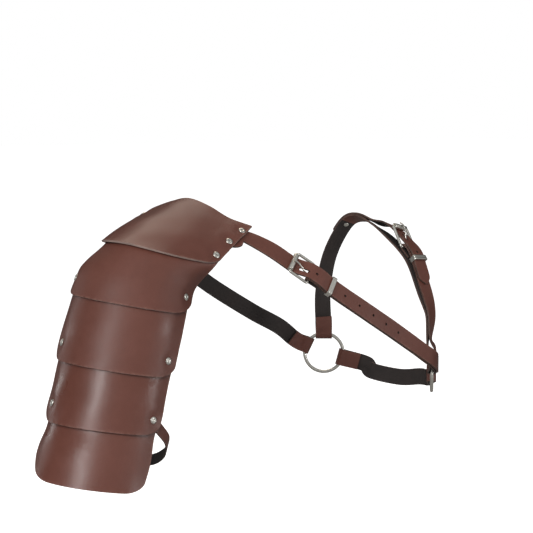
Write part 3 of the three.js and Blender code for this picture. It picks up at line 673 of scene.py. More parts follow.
def piece(name, points, faces, materials, indices=None, **fields):
    mesh = bpy.data.meshes.new(name)
    mesh.from_pydata((np.asarray(points) * MM).tolist(), [], [tuple(int(i) for i in f) for f in faces])
    for made in materials:
        mesh.materials.append(made)
    if indices is not None:
        mesh.polygons.foreach_set("material_index", np.asarray(indices, np.int32))
    for field, values in fields.items():
        mesh.attributes.new(field, "FLOAT", "POINT").data.foreach_set("value", np.asarray(values, np.float32))
    mesh.polygons.foreach_set("use_smooth", np.ones(len(mesh.polygons), bool))
    mesh.update()
    obj = bpy.data.objects.new(name, mesh)
    bpy.context.collection.objects.link(obj)
    return obj


def join_frame(obj, stands_for):
    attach(obj, "root")
    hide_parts(stands_for)


def thicken(obj, thickness, rounding, reverse_offset=2, rim_offset=1):
    shell = obj.modifiers.new("thickness", "SOLIDIFY")
    shell.thickness = thickness
    shell.offset = 0.0
    shell.material_offset = reverse_offset
    shell.material_offset_rim = rim_offset
    soft = obj.modifiers.new("rounding", "BEVEL")
    soft.width = rounding
    soft.segments = 3
    soft.limit_method = "ANGLE"
    soft.angle_limit = math.radians(55)
    soft.harden_normals = True


def leathers():
    return [finished_leather(), cut_edge(), dark_reverse_and_shade()]


def plate(name, skin, span, corners, grid, rivets, polish, sizes, seed):
    """A leather plate on a skin: rounded lower corners, a slow wave and a dimple at each rivet."""
    height, width = span
    back, front, sag = corners
    columns, rows = grid
    even = np.linspace(0, 1, columns + 1)
    u = np.clip(even - 0.11 * np.sin(2 * np.pi * even), 0, 1)
    inset = np.minimum(u, 1 - u) * width
    along, down = np.where(u[:, None] < 0.5, back, front).T
    past = np.clip(1 - inset / along, 0, 1)
    lowest = 1 - (down * (1 - np.sqrt(1 - past ** 2)) + sag * (2 * u - 1) ** 2) / height
    grid_u = np.repeat(u, rows + 1)
    grid_v = np.outer(lowest, np.linspace(0, 1, rows + 1)).ravel()
    points = skin.at(grid_u, grid_v)
    normals = skin.normal(grid_u, grid_v)
    side = np.minimum(grid_u, 1 - grid_u) * width
    below = (np.repeat(lowest, rows + 1) - grid_v) * height
    border = np.minimum(side, np.minimum(below, grid_v * height))
    shift = sizes.wave / MM * np.sin(points @ np.array([0.11, 0.05, 0.04]) + seed) * np.sin(
        points @ np.array([-0.03, 0.07, 0.09]) + 2.1 * seed)
    for at_u, at_v in rivets:
        away = np.linalg.norm(points - skin.at(at_u, at_v)[0], axis=1)
        raised = 0.55 * np.exp(-((away - 11) / 5.0) ** 2)
        shift += sizes.dimple / MM * (raised - np.exp(-(away / 5.5) ** 2))
    points = points + normals * shift[:, None]
    index = np.arange((columns + 1) * (rows + 1)).reshape(columns + 1, rows + 1)
    corner_sets = [index[:-1, :-1], index[:-1, 1:], index[1:, 1:], index[1:, :-1]]
    quads = np.stack(corner_sets, axis=-1).reshape(-1, 4)
    gloss = np.full(len(points), polish[0])
    for at_u, at_v, radius, amount in polish[1:]:
        away = np.linalg.norm(points - skin.at(at_u, at_v)[0], axis=1)
        gloss += amount * np.exp(-(away / radius) ** 2)
    # The edge field drives the edge wear, which is partly a painted highlight.
    obj = piece(name, points, quads, leathers(), edge=np.clip(1 - border / 3.0, 0, 1), polish=gloss)
    thicken(obj, sizes.plate, sizes.rounding)
    return obj


def strap(name, path, side, thickness, rounding, holes=(), slots=(), aside=None, reverse_shade_from=None):
    """A flat strap whose side view is given: cut out flat with its holes, then laid along its line."""
    reach = cut_length(side)
    rows = int(reach[-1] / 1.1)
    even = np.linspace(0, reach[-1], rows)
    side = np.stack([np.interp(even, reach, side[:, i]) for i in range(3)], axis=1)
    for _ in range(2):
        side[1:-1] = 0.25 * side[:-2] + 0.5 * side[1:-1] + 0.25 * side[2:]
    reach = even
    columns = np.linspace(-0.5, 0.5, 11)
    flat = [(q, c * w) for q, w in zip(reach, side[:, 2]) for c in columns]
    wide_count = len(columns)
    last = wide_count - 1
    edges = [(i * wide_count + k, (i + 1) * wide_count + k) for i in range(rows - 1) for k in (0, last)]
    edges += [(i * wide_count + k, i * wide_count + k + 1) for i in (0, rows - 1) for k in range(last)]
    outlines = [hole_outline(q, radius) for q, radius in holes]
    outlines += [slot_outline(q0, q1, w, half) for q0, q1, w, half in slots]
    inner = []
    for outline in outlines:
        start = len(flat) + len(inner)
        count = len(outline)
        inner += outline
        edges += [(start + i, start + (i + 1) % count) for i in range(count)]
    points = [Vector(p) for p in flat + inner]
    cut, _, faces, *_ = delaunay_2d_cdt(points, edges, [], 1, 1e-4)
    cut = np.array([tuple(p) for p in cut])
    middle = np.array([np.mean([cut[i] for i in f], axis=0) for f in faces])
    gone = np.zeros(len(faces), bool)
    for q, radius in holes:
        gone |= np.hypot(middle[:, 0] - q, middle[:, 1]) < radius
    for q0, q1, w, half in slots:
        past = middle[:, 0] - np.clip(middle[:, 0], q0 + half, q1 - half)
        gone |= np.hypot(past, middle[:, 1] - w) < half
    middle = middle[~gone]
    faces = np.array(faces)[~gone]
    used, faces = np.unique(faces, return_inverse=True)
    cut, faces = cut[used], faces.reshape(-1, 3)
    s = np.interp(cut[:, 0], reach, side[:, 0])
    lift = np.interp(cut[:, 0], reach, side[:, 1])
    width = np.interp(cut[:, 0], reach, side[:, 2])
    shift = 0.0 if aside is None else aside(cut[:, 0], s)
    placed_points = path.at(s, lift, cut[:, 1] + shift)
    border = width / 2 - np.abs(cut[:, 1])
    # Slots in threes, face, edge and reverse: as laid from 0, with the near-black reverse facing out from 2
    # (partly the real reverse, partly painted shade), round the holes from 5, where the hole walls take the
    # near-black reverse as painted shade
    face, edge, reverse = finished_leather(), dyed_edge(), dark_reverse_and_shade()
    materials = [face, edge, reverse, edge, face, face, reverse, reverse]
    indices = np.zeros(len(faces), int)
    # From here on the near-black reverse faces out: partly the real reverse, partly painted shade under the
    # layer above.
    if reverse_shade_from is not None:
        indices[middle[:, 0] > reverse_shade_from] = 2
    # Painted shade: the walls of the punched holes take the near-black reverse instead of the cut edge.
    for q, radius in holes:
        indices[np.hypot(middle[:, 0] - q, middle[:, 1]) < radius + 1.2] = 5
    obj = piece(name, placed_points, faces, materials, indices, edge=np.clip(1 - border / 1.8, 0, 1))
    thicken(obj, thickness, rounding)
    return obj


def hole_outline(q, radius, count=18):
    angle = 2 * np.pi * np.arange(count) / count
    return [(q + radius * math.cos(a), radius * math.sin(a)) for a in angle]


def slot_outline(q0, q1, w, half, count=9):
    turn = np.linspace(-np.pi / 2, np.pi / 2, count)
    right = [(q1 - half + half * math.cos(a), w + half * math.sin(a)) for a in turn]
    left = [(q0 + half - half * math.cos(a), w - half * math.sin(a)) for a in turn]
    return right + left


def cut_length(side):
    """Distance along the cut strap of each point of its side view."""
    return np.concatenate([[0], np.cumsum(np.linalg.norm(np.diff(side[:, :2], axis=0), axis=1))])


def flat_place(side, s, lift):
    """How far along the cut strap a place of its side view lies."""
    return float(cut_length(side)[np.argmin(np.hypot(side[:, 0] - s, side[:, 1] - lift))])


def cut_place(side, s):
    """The same for a strap that never turns back, from the distance along its line alone."""
    return float(np.interp(s, side[:, 0], cut_length(side)))


def heel_slot(side, buckle):
    """The slot for the tongue where a strap turns round the heel bar."""
    bend = flat_place(side, buckle.heel - buckle.fold, buckle.heel_lift)
    return (bend - HEEL_SLOT, bend + HEEL_SLOT, buckle.lean, SLOT_HALF)


def billet_slot(side, start, end, lean):
    """The slot for the tongue in a billet, between two places along its line."""
    return (cut_place(side, start), cut_place(side, end), lean, SLOT_HALF)


def sweep(points, radii, sides=18, closed=False):
    """Points and faces of a round rod along a path, with rounded ends where it is open."""
    points = np.asarray(points, float)
    radii = np.broadcast_to(np.asarray(radii, float), (len(points),)).copy()
    if not closed:
        first, last = unit(points[1] - points[0]), unit(points[-1] - points[-2])
        turn = np.radians([80, 55, 30])
        head = [points[0] - first * radii[0] * math.sin(a) for a in turn]
        tail = [points[-1] + last * radii[-1] * math.sin(a) for a in turn[::-1]]
        points = np.vstack([head, points, tail])
        radii = np.concatenate([radii[0] * np.cos(turn), radii, radii[-1] * np.cos(turn[::-1])])
    if closed:
        along = unit(np.roll(points, -1, axis=0) - np.roll(points, 1, axis=0))
    else:
        along = unit(np.gradient(points, axis=0))
    normal = np.cross(along[0], [0.31, 0.52, 0.8])
    frames = []
    for direction in along:
        normal = unit(normal - direction * (normal @ direction))
        frames.append((normal, np.cross(direction, normal)))
    angle = 2 * np.pi * np.arange(sides) / sides
    rings = [p + r * (np.cos(angle)[:, None] * a + np.sin(angle)[:, None] * b)
             for p, r, (a, b) in zip(points, radii, frames)]
    count = len(points)
    quads = []
    for i in range(count if closed else count - 1):
        here, there = i * sides, ((i + 1) % count) * sides
        offset = 0
        if closed and i == count - 1:
            offset = int(np.argmin(np.linalg.norm(rings[0] - rings[i][0], axis=1)))
        for k in range(sides):
            k2 = (k + 1) % sides
            quads.append((here + k, here + k2, there + (k2 + offset) % sides, there + (k + offset) % sides))
    if not closed:
        quads.append(tuple(range(sides))[::-1])
        quads.append(tuple((count - 1) * sides + k for k in range(sides)))
    return np.vstack(rings), quads


def lathe(profile, at, along, sides=40):
    """Points and faces of a turned shape: profile is radius and height along its axis, from the top down."""
    along = unit(np.asarray(along, float))
    a = unit(np.cross(along, [0.31, 0.52, 0.8]))
    b = np.cross(along, a)
    angle = 2 * np.pi * np.arange(sides) / sides
    around = np.cos(angle)[:, None] * a + np.sin(angle)[:, None] * b
    rings = [at + r * around + along * h for r, h in profile]
    quads = []
    for i in range(len(profile) - 1):
        for k in range(sides):
            k2 = (k + 1) % sides
            quads.append((i * sides + k, (i + 1) * sides + k, (i + 1) * sides + k2, i * sides + k2))
    quads.append(tuple(range(sides)))
    quads.append(tuple((len(profile) - 1) * sides + k for k in range(sides))[::-1])
    return np.vstack(rings), quads


def tube(profile, at, along, sides=36):
    """A turned shape with a bore: the profile runs round its wall and closes on itself."""
    points, quads = lathe(profile, at, along, sides)
    quads = quads[:-2]
    last = (len(profile) - 1) * sides
    quads += [(last + k, k, (k + 1) % sides, last + (k + 1) % sides) for k in range(sides)]
    return points, quads


def rounded_path(corners, radius, steps=7):
    """A closed path through corners, each turned on an arc."""
    corners = [np.asarray(c, float) for c in corners]
    path = []
    count = len(corners)
    for i, corner in enumerate(corners):
        before = unit(corners[i - 1] - corner)
        after = unit(corners[(i + 1) % count] - corner)
        for t in np.linspace(0, 1, steps):
            start, end = corner + before * radius, corner + after * radius
            path.append((1 - t) ** 2 * start + 2 * t * (1 - t) * corner + t ** 2 * end)
        straight = corner + after * radius
        following = corners[(i + 1) % count] - after * radius
        path += [straight + (following - straight) * t for t in (0.25, 0.5, 0.75)]
    return np.array(path)


# What the pieces share: the plates' skins and the straps' lines

def chest_line(sizes, cap):
    ring = sizes.ring / MM
    ends = [under_cap(cap, sizes, u, v) for u, v in ((0.87, 0.33), (0.93, 0.32), (1, TAB_EDGE))]
    seats = [ring_seat(FRONT_RING, ring, 157, 26, 30), ring_seat(FRONT_RING, ring, 157, 0, 47)]
    return Line([*ends, *CHEST_ROWS, *seats])


def back_line(sizes, cap):
    ring = sizes.ring / MM
    ends = [under_cap(cap, sizes, u, v) for u, v in ((0.13, 0.33), (0.07, 0.32), (0, TAB_EDGE))]
    seats = [ring_seat(REAR_RING, ring, 25, 12, -212), ring_seat(REAR_RING, ring, 25, 0, -220)]
    return Line([*ends, *BACK_ROWS, *seats])


def over_line(sizes):
    ring = sizes.ring / MM
    start = [ring_seat(REAR_RING, ring, 90, 0, 140), ring_seat(REAR_RING, ring, 90, 14, 148, 1)]
    seats = [ring_seat(FRONT_RING, ring, 88, 14, 40), ring_seat(FRONT_RING, ring, 88, 0, 47)]
    return Line([*start, *SHOULDER_ROWS, *seats])


def underarm_line(sizes):
    ring = sizes.ring / MM
    start = [ring_seat(FRONT_RING, ring, -15, 0, 47), ring_seat(FRONT_RING, ring, -15, 26, 53)]
    seats = [ring_seat(REAR_RING, ring, 195, 26, 134), ring_seat(REAR_RING, ring, 195, 0, 140)]
    return Line([*start, *UNDERARM_ROWS, *seats])


def lame_rivet_seats(skins):
    """Each lame rivet: the outer plate, its end, the place, the way out and how deep the inner plate lies."""
    seats = []
    for i in (1, 2, 3):
        for end, (u, v) in LAME_RIVETS.items():
            at, along = skins[i].at(u, v)[0], skins[i].normal(u, v)[0]
            seats.append((i, end, at, along, depth_under(skins[i + 1], at, along)))
    return seats


def arm_line(sizes, skins):
    ends = {}
    for i, end, at, along, depth in lame_rivet_seats(skins):
        if i == 3:
            inward = depth + sizes.plate / MM / 2 + GAP + sizes.arm_strap / MM / 2
            ends[end] = at - along * inward - ARM_CENTRE
    rows = []
    for end, angle, down, out in ARM_STRAP_ROWS:
        held = ends[end]
        ahead, outward = held @ ARM_FRONT, held @ ARM_OUT
        lap = 360 if end == "back" else 0
        turned = math.degrees(math.atan2(ahead, outward)) + angle + lap
        radius = math.hypot(ahead, outward)
        at = on_arm(held @ ARM_DOWN + down, turned, radius + out)[0]
        facing = on_arm(0, turned, 1)[0] - ARM_CENTRE
        rows.append((*at, turned - 90, math.degrees(math.asin(facing[2]))))
    return Line(rows)


class Buckle:
    """The sizes round one roller buckle on a line: where the roller, heel bar and layers lie."""

    def __init__(self, sizes, path, at, floor, tilt, lean):
        strap_mm = sizes.strap / MM
        self.rod = sizes.rod / MM
        self.roller_radius = sizes.roller / MM
        self.tongue = sizes.tongue / MM
        self.half = sizes.buckle_half / MM
        self.fold = strap_mm / 2 + GAP + self.rod
        self.layer = strap_mm + GAP
        self.over_heel = 2 * self.fold + self.layer
        self.path = path
        self.roller = path.nearest(at)
        self.heel = self.roller + sizes.buckle_length / MM
        self.floor = floor
        self.tilt = tilt
        self.lean = lean
        self.roller_lift = floor + tilt + strap_mm / 2 + GAP + self.roller_radius
        self.heel_lift = floor + self.fold


def chest_buckle(sizes, path):
    return Buckle(sizes, path, CHEST_BUCKLE_AT, 0.0, 0.0, CHEST_LEAN)


def shoulder_buckle(sizes, path):
    return Buckle(sizes, path, SHOULDER_BUCKLE_AT, sizes.strap / MM + GAP, TILT, SHOULDER_LEAN)


# Operators

class PAULDRON_OT_studio(bpy.types.Operator):
    """Camera at the photograph's angle, pale floor and soft studio light"""
    bl_idname = "pauldron.studio"
    bl_label = "Studio"

    def execute(self, context):
        studio = context.scene.pauldron_studio
        camera = bpy.data.cameras.new("studio_camera")
        camera.lens = studio.lens
        camera.sensor_width = 36.0
        camera.clip_end = 50.0
        holder = bpy.data.objects.new("studio_camera", camera)
        holder.location = EYE
        holder.rotation_euler = (TARGET - EYE).to_track_quat("-Z", "Y").to_euler()
        context.collection.objects.link(holder)
        context.scene.camera = holder

        low = CAD_BOX[0][2] - studio.floor_drop
        reach = 14.0
        corners = [(-reach, -reach, low), (reach, -reach, low), (reach, reach, low), (-reach, reach, low)]
        floor = piece("studio_floor", np.array(corners) / MM, [(0, 1, 2, 3)], [pale_floor()])

        forward = (TARGET - EYE).normalized()
        right = forward.cross(Vector((0, 0, 1))).normalized()
        up = right.cross(forward)
        for name, row in SOFTBOXES.items():
            r, u, c, far, wide_side, tall, watts, warmth, mirrored = row
            light = bpy.data.lights.new(name, "AREA")
            light.shape = "RECTANGLE"
            light.size = wide_side
            light.size_y = tall
            light.energy = watts
            light.color = (1.0, 1.0 - 0.5 * warmth, 1.0 - warmth)
            lamp = bpy.data.objects.new(name, light)
            place = (right * r + up * u - forward * c).normalized()
            lamp.location = TARGET + place * far
            lamp.visible_glossy = mirrored
            lamp.rotation_euler = (-place).to_track_quat("-Z", "Y").to_euler()
            context.collection.objects.link(lamp)

        world = bpy.data.worlds.new("studio_world")
        context.scene.world = world
        world.use_nodes = True
        tree = world.node_tree
        tree.nodes.clear()
        seen = node(tree, "ShaderNodeBackground", {"Color": (1.0, 1.0, 1.0, 1.0), "Strength": 1.0})
        way = node(tree, "ShaderNodeTexCoord").outputs["Generated"]
        brightest = right * 0.3 + up * 0.2 - forward
        ahead = node(tree, "ShaderNodeVectorMath", {0: way, 1: brightest}, operation="DOT_PRODUCT")
        room = node(tree, "ShaderNodeMapRange", {
            "Value": ahead.outputs["Value"], "From Min": -0.3, "From Max": 0.8,
            "To Min": 0.05, "To Max": 0.5})
        ambient = node(tree, "ShaderNodeBackground", {
            "Color": (1.0, 1.0, 1.0, 1.0), "Strength": room.outputs["Result"]})
        which = node(tree, "ShaderNodeLightPath").outputs["Is Camera Ray"]
        both = node(tree, "ShaderNodeMixShader", {
            0: which, 1: ambient.outputs["Background"], 2: seen.outputs["Background"]})
        end = node(tree, "ShaderNodeOutputWorld")
        tree.links.new(both.outputs["Shader"], end.inputs["Surface"])
        context.scene.view_settings.view_transform = "Standard"
        return {"FINISHED"}


class PAULDRON_OT_plates(bpy.types.Operator):
    """The shoulder cap and the four arm lames"""
    bl_idname = "pauldron.plates"
    bl_label = "Cap and lames"

    def execute(self, context):
        sizes = context.scene.pauldron_sizes
        skins = all_skins(sizes.plate / MM)
        held = [r for rows in CAP_RIVETS.values() for r in rows]
        cap = plate("cap_leather", skins[0], CAP_SPAN, CAP_CORNERS, CAP_GRID, held, POLISH[0], sizes, 0.4)
        join_frame(cap, "shoulder_cap")
        for i in range(1, 5):
            rivets = LAME_RIVETS.values() if i < 4 else ()
            corners = LAME_CORNERS if i < 4 else LAST_CORNERS
            lame = plate(f"lame_{i}_leather", skins[i], LAME_SPAN, corners, LAME_GRID,
                         rivets, POLISH[i], sizes, 1.7 * i)
            join_frame(lame, f"arm_lame_{i}")
        return {"FINISHED"}


class PAULDRON_OT_rivets(bpy.types.Operator):
    """Domed rivets through the cap, the lames and the shoulder strap"""
    bl_idname = "pauldron.rivets"
    bl_label = "Rivets"

    def rivet(self, name, at, along, outer, inner, head):
        top = outer - RIVET_SINK
        profile = [(head * r, top + h) for r, h in RIVET_DOME]
        profile += [(RIVET_SHANK, top - 0.05), *((r, h - inner) for r, h in RIVET_FOOT)]
        obj = piece(f"{name}_metal", *lathe(profile, at, along), [plated_steel()])
        join_frame(obj, name)

    def execute(self, context):
        sizes = context.scene.pauldron_sizes
        head = sizes.rivet_head / MM
        plate_mm, strap_mm = sizes.plate / MM, sizes.strap / MM
        skins = all_skins(plate_mm)
        for i, end, at, along, depth in lame_rivet_seats(skins):
            lining = GAP + sizes.arm_strap / MM if i == 3 else 0.0
            inner = depth + plate_mm / 2 + lining
            self.rivet(f"lame_rivet_{end}_{i}", at, along, plate_mm / 2, inner, head)
        for end, rows in CAP_RIVETS.items():
            for i, (u, v) in enumerate(rows):
                at, along = skins[0].at(u, v)[0], skins[0].normal(u, v)[0]
                inner = plate_mm / 2 + TAB_GAP + strap_mm
                if i == 2:
                    inner = depth_under(skins[1], at, along) + plate_mm / 2
                self.rivet(f"cap_rivet_{end}_{i + 1}", at, along, plate_mm / 2, inner, head)
        over = over_line(sizes)
        layer = strap_mm + GAP
        s = over.nearest(SHOULDER_RIVET_AT)
        at = over.at(s, layer, 0)[0]
        along = over.at(s, layer + 1, 0)[0] - at
        self.rivet("shoulder_rivet", at, along, strap_mm / 2 + RIVET_SINK, layer + strap_mm / 2, head)
        return {"FINISHED"}


class PAULDRON_OT_chest_strap(bpy.types.Operator):
    """The chest billet from under the cap, and the chape between its buckle and the front ring"""
    bl_idname = "pauldron.chest_strap"
    bl_label = "Chest strap"

    def execute(self, context):
        sizes = context.scene.pauldron_sizes
        width = sizes.strap_width / MM
        cap = cap_skin()
        line = chest_line(sizes, cap)
        buckle = chest_buckle(sizes, line)
        end, layer = line.length, buckle.layer
        side = eased([
            *tab_end(line.nearest(cap.at(1, TAB_EDGE)[0]), width),
            *through_buckle(buckle, width),
            *wide(width, (buckle.heel + 60, layer), (end - 54, layer), (end - 44, layer),
                  (end - 34, layer + 0.6), (end - 24, layer + 2.6), (end - 11, layer + 5.8),
                  (end - 2, layer + 7.7)),
        ])
        first, pitch = buckle.roller + 25, sizes.hole_pitch / MM
        holes = [(cut_place(side, first + pitch * i), sizes.hole / MM) for i in range(CHEST_HOLES)]
        slot = billet_slot(side, buckle.roller + 8.5, buckle.roller + 18.5, 0.7 * buckle.lean)
        billet = strap("chest_billet_leather", line, side, sizes.strap, sizes.rounding, holes, [slot])
        join_frame(billet, "chest_billet")

        side = np.vstack([
            round_heel(buckle, width),
            eased(wide(width, (buckle.heel + 42, 0), (end - 46, 0))),
            round_ring(end, width),
        ])
        slot = heel_slot(side, buckle)
        chape = strap("chest_chape_leather", line, side, sizes.strap, sizes.rounding, (), [slot])
        join_frame(chape, "chest_chape")
        return {"FINISHED"}


class PAULDRON_OT_back_strap(bpy.types.Operator):
    """The plain strap from the back of the cap to the rear ring"""
    bl_idname = "pauldron.back_strap"
    bl_label = "Back strap"

    def execute(self, context):
        sizes = context.scene.pauldron_sizes
        width = sizes.strap_width / MM
        cap = cap_skin()
        line = back_line(sizes, cap)
        edge = line.nearest(cap.at(0, TAB_EDGE)[0])
        side = np.vstack([
            eased([*tab_end(edge, width), (line.length - 46, 0, width)]),
            round_ring(line.length, width),
        ])
        obj = strap("back_strap_leather", line, side, sizes.strap, sizes.rounding)
        join_frame(obj, "back_strap")
        return {"FINISHED"}


class PAULDRON_OT_shoulder_strap(bpy.types.Operator):
    """The strap over the left shoulder, back up from the front ring to its buckle, and the billet on it"""
    bl_idname = "pauldron.shoulder_strap"
    bl_label = "Shoulder strap"

    def execute(self, context):
        sizes = context.scene.pauldron_sizes
        width = sizes.strap_width / MM
        line = over_line(sizes)
        buckle = shoulder_buckle(sizes, line)
        end, layer = line.length, buckle.layer
        riveted = line.nearest(SHOULDER_RIVET_AT)
        side = np.vstack([
            from_ring(width),
            eased(wide(width, (46, 0), (end - 20, 0), (end - 0.5, 0))),
            fold(end + RING_SAG, RING_FOLD, RING_FOLD, -90, 90, width),
            eased(wide(width, (end - 0.5, 2 * RING_FOLD), (end - 4, 6.9), (end - 9, 3.8),
                       (end - 16, layer + 0.3), (end - 24, layer), (end - 34, layer))),
            eased(wide(width, (end - 36, layer), (buckle.heel + 42, layer))),
            round_heel(buckle, width)[::-1],
        ])
        round_front = flat_place(side, end + RING_SAG + RING_FOLD, RING_FOLD)
        knots = [buckle.roller - 30, buckle.roller, end - 60, end - 22]

        def aside(q, s):
            slid = np.interp(s, knots, [0, 1, 1, 0])
            return np.where(q < round_front, -UNDER_LAYER_SHIFT * slid * slid * (3 - 2 * slid), 0)

        # The under-layer shows its near-black reverse from beside the rivet down to the front ring: partly
        # real reverse, partly painted shade beside the top layer.
        obj = strap("shoulder_strap_leather", line, side, sizes.strap, sizes.rounding, (),
                    [heel_slot(side, buckle)], aside, flat_place(side, riveted + 4, 0))
        join_frame(obj, "shoulder_strap")

        side = eased([
            *wide(width, (riveted - 12, layer), (riveted + 8, layer), (buckle.roller - 46, layer + 0.2),
                  (buckle.roller - 30, layer + 2), (buckle.roller - 14, layer + TILT - 1)),
            *through_buckle(buckle, width)[:-1],
            (buckle.heel + 35, 2 * layer + 0.5, width),
            (buckle.heel + 43, 2 * layer + 0.2, 2),
        ])
        holes = [(cut_place(side, buckle.heel + 11), sizes.hole / MM)]
        slot = billet_slot(side, buckle.roller + 6.5, buckle.roller + 17.5, buckle.lean)
        billet = strap("shoulder_billet_leather", line, side, sizes.strap, sizes.rounding, holes, [slot])
        join_frame(billet, "shoulder_billet")
        return {"FINISHED"}


class PAULDRON_OT_underarm_strap(bpy.types.Operator):
    """The plain strap between the two rings, under the left arm"""
    bl_idname = "pauldron.underarm_strap"
    bl_label = "Underarm strap"

    def execute(self, context):
        sizes = context.scene.pauldron_sizes
        width = sizes.strap_width / MM
        line = underarm_line(sizes)
        side = np.vstack([
            from_ring(width),
            eased(wide(width, (46, 0), (line.length - 46, 0))),
            round_ring(line.length, width),
        ])
        obj = strap("underarm_strap_leather", line, side, sizes.strap, sizes.rounding)
        join_frame(obj, "underarm_strap")
        return {"FINISHED"}


class PAULDRON_OT_arm_strap(bpy.types.Operator):
    """The narrow strap round the inside of the arm"""
    bl_idname = "pauldron.arm_strap"
    bl_label = "Arm strap"

    def execute(self, context):
        sizes = context.scene.pauldron_sizes
        line = arm_line(sizes, all_skins(sizes.plate / MM))
        side = eased(wide(sizes.arm_strap_width / MM, (0, 0), (line.length, 0)))
        obj = strap("arm_strap_leather", line, side, sizes.arm_strap, sizes.rounding)
        join_frame(obj, "arm_strap")
        return {"FINISHED"}


class PAULDRON_OT_buckles(bpy.types.Operator):
    """The two roller buckles: bent frames, rollers and tongues"""
    bl_idname = "pauldron.buckles"
    bl_label = "Buckles"

    def build(self, name, buckle):
        path, half, rod = buckle.path, buckle.half, buckle.rod
        corners = [(buckle.roller, buckle.roller_lift, -half), (buckle.heel, buckle.heel_lift, -half),
                   (buckle.heel, buckle.heel_lift, half), (buckle.roller, buckle.roller_lift, half)]
        bent = rounded_path([path.at(*c)[0] for c in corners], 2.6)
        frame_piece = piece(f"{name}_frame_metal", *sweep(bent, rod, closed=True), [plated_steel()])
        join_frame(frame_piece, f"{name}_buckle_frame")

        end = half - rod - 0.6
        left, right = path.at(buckle.roller, buckle.roller_lift, [-end, end])
        length = np.linalg.norm(right - left)
        inner, outer = rod + 0.4, buckle.roller_radius
        profile = [(inner, length / 2), (inner + 0.25, length / 2), (outer - 0.25, length / 2 - 0.02),
                   (outer - 0.06, length / 2 - 0.12), (outer, length / 2 - 0.3), (outer, 0)]
        profile += [(r, -h) for r, h in profile[-2::-1]]
        wall = tube(profile, (left + right) / 2, right - left)
        roller = piece(f"{name}_roller_metal", *wall, [plated_steel()])
        join_frame(roller, f"{name}_roller")

        hook = rod + GAP + buckle.tongue
        knots = []
        for degrees in range(50, -171, -20):
            a = math.radians(degrees)
            knots.append((buckle.heel + hook * math.cos(a), buckle.heel_lift + hook * math.sin(a)))
        tip = buckle.roller_lift + buckle.roller_radius + GAP + buckle.tongue
        rise = tip - buckle.heel_lift
        s = buckle.roller
        knots += [(s + 13, buckle.heel_lift + 0.4 * rise), (s + 8, tip - 0.2 * rise),
                  (s + 3, tip), (s - 2.2, tip - 0.2)]
        s, lift = np.array(knots).T
        lean = np.interp(s, [buckle.roller + 2, buckle.heel - 4], [0, buckle.lean])
        spine = through(path.at(s, lift, lean), np.linspace(0, 1, 70))
        radii = buckle.tongue * np.interp(np.linspace(0, 1, 70), [0, 0.5, 0.8, 1], [1.0, 1.0, 0.95, 0.72])
        tongue = piece(f"{name}_tongue_metal", *sweep(spine, radii, 14), [plated_steel()])
        join_frame(tongue, f"{name}_tongue")

    def execute(self, context):
        sizes = context.scene.pauldron_sizes
        self.build("chest", chest_buckle(sizes, chest_line(sizes, cap_skin())))
        self.build("shoulder", shoulder_buckle(sizes, over_line(sizes)))
        return {"FINISHED"}


class PAULDRON_OT_keepers(bpy.types.Operator):
    """The metal loops that hold the billets' free ends down"""
    bl_idname = "pauldron.keepers"
    bl_label = "Keepers"

    def build(self, name, path, s, low, high, sizes):
        wall = sizes.keeper_wall / MM
        half = sizes.strap_width / MM / 2 + GAP + wall / 2
        low, high = low - wall / 2, high + wall / 2
        corners = [(low, -half, 0), (high, -half, 0), (high, half, 0), (low, half, 0)]
        loop = rounded_path(corners, 1.3, 6)
        along = np.linspace(0, 1, 17)
        ridges = KEEPER_RIDGE * np.sin(2 * np.pi * along) ** 2
        across = (along - 0.5) * (sizes.keeper_length / MM)
        count = len(loop)
        rows = zip(across, ridges)
        points = np.vstack([path.at(s + step, loop[:, 0] + ridge, loop[:, 1]) for step, ridge in rows])
        quads = []
        for i in range(len(across) - 1):
            here, there = i * count, (i + 1) * count
            for k in range(count):
                k2 = (k + 1) % count
                quads.append((here + k, there + k, there + k2, here + k2))
        obj = piece(f"{name}_keeper_metal", points, quads, [plated_steel()])
        thicken(obj, sizes.keeper_wall, 0.0003, 0, 0)
        join_frame(obj, f"{name}_keeper")

    def execute(self, context):
        sizes = context.scene.pauldron_sizes
        chest = chest_line(sizes, cap_skin())
        self.build("chest", chest, chest_buckle(sizes, chest).heel + 23.5, -0.1, 6.1, sizes)
        over = over_line(sizes)
        buckle = shoulder_buckle(sizes, over)
        self.build("shoulder", over, buckle.heel + 17, buckle.layer + 0.9, buckle.layer + 7.6, sizes)
        return {"FINISHED"}


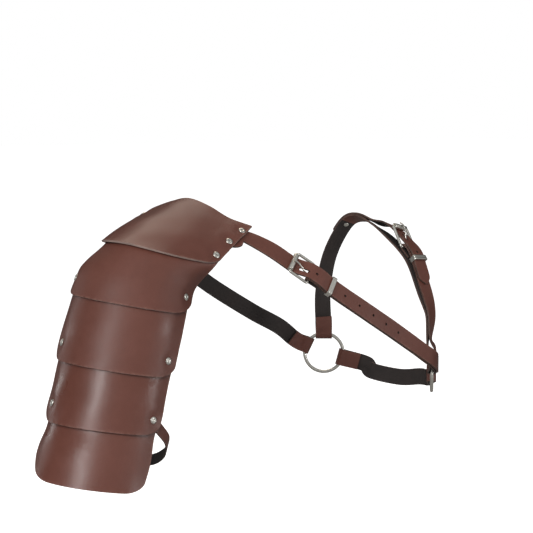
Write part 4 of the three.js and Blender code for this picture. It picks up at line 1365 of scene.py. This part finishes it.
class PAULDRON_OT_rings(bpy.types.Operator):
    """The two welded rings that join the straps"""
    bl_idname = "pauldron.rings"
    bl_label = "Rings"

    def build(self, name, row, weld, sizes):
        x, y, z, turn = row
        angle = np.radians(np.arange(0, 360, 5))
        level = np.array([math.cos(math.radians(turn)), math.sin(math.radians(turn)), 0.0])
        around = np.cos(angle)[:, None] * level + np.sin(angle)[:, None] * np.array([0, 0, 1.0])
        path = np.array([x, y, z]) + around * (sizes.ring / MM)
        off = np.degrees(np.arccos(np.clip(np.cos(angle - math.radians(weld)), -1, 1)))
        radii = sizes.ring_rod / MM * (1 + 0.05 * np.exp(-(off / 4.0) ** 2))
        obj = piece(f"{name}_metal", *sweep(path, radii, 20, closed=True), [plated_steel()])
        join_frame(obj, name)

    def execute(self, context):
        sizes = context.scene.pauldron_sizes
        self.build("front_ring", FRONT_RING, 270, sizes)
        self.build("rear_ring", REAR_RING, 300, sizes)
        return {"FINISHED"}


OPERATORS = (
    PAULDRON_OT_studio, PAULDRON_OT_plates, PAULDRON_OT_rivets, PAULDRON_OT_chest_strap,
    PAULDRON_OT_back_strap, PAULDRON_OT_shoulder_strap, PAULDRON_OT_underarm_strap, PAULDRON_OT_arm_strap,
    PAULDRON_OT_buckles, PAULDRON_OT_keepers, PAULDRON_OT_rings,
)


class PAULDRON_PT_panel(bpy.types.Panel):
    """Builds the pauldron piece by piece"""
    bl_idname = "PAULDRON_PT_panel"
    bl_label = "Leather pauldron"
    bl_space_type = "VIEW_3D"
    bl_region_type = "UI"
    bl_category = "Pauldron"

    def draw(self, context):
        for operator in OPERATORS:
            self.layout.operator(operator.bl_idname)


GROUPS = {
    "pauldron_sizes": PauldronSizes,
    "pauldron_finish": PauldronFinish,
    "pauldron_studio": PauldronStudio,
}
CLASSES = (*GROUPS.values(), *OPERATORS, PAULDRON_PT_panel)


def register():
    for made in CLASSES:
        bpy.utils.register_class(made)
    for name, made in GROUPS.items():
        setattr(bpy.types.Scene, name, bpy.props.PointerProperty(type=made))


def unregister():
    for name in GROUPS:
        delattr(bpy.types.Scene, name)
    for made in reversed(CLASSES):
        bpy.utils.unregister_class(made)


def main():
    register()
    bpy.ops.pauldron.studio()
    bpy.ops.pauldron.plates()
    bpy.ops.pauldron.rivets()
    bpy.ops.pauldron.chest_strap()
    bpy.ops.pauldron.back_strap()
    bpy.ops.pauldron.shoulder_strap()
    bpy.ops.pauldron.underarm_strap()
    bpy.ops.pauldron.arm_strap()
    bpy.ops.pauldron.buckles()
    bpy.ops.pauldron.keepers()
    bpy.ops.pauldron.rings()


if __name__ == "__main__":
    main()
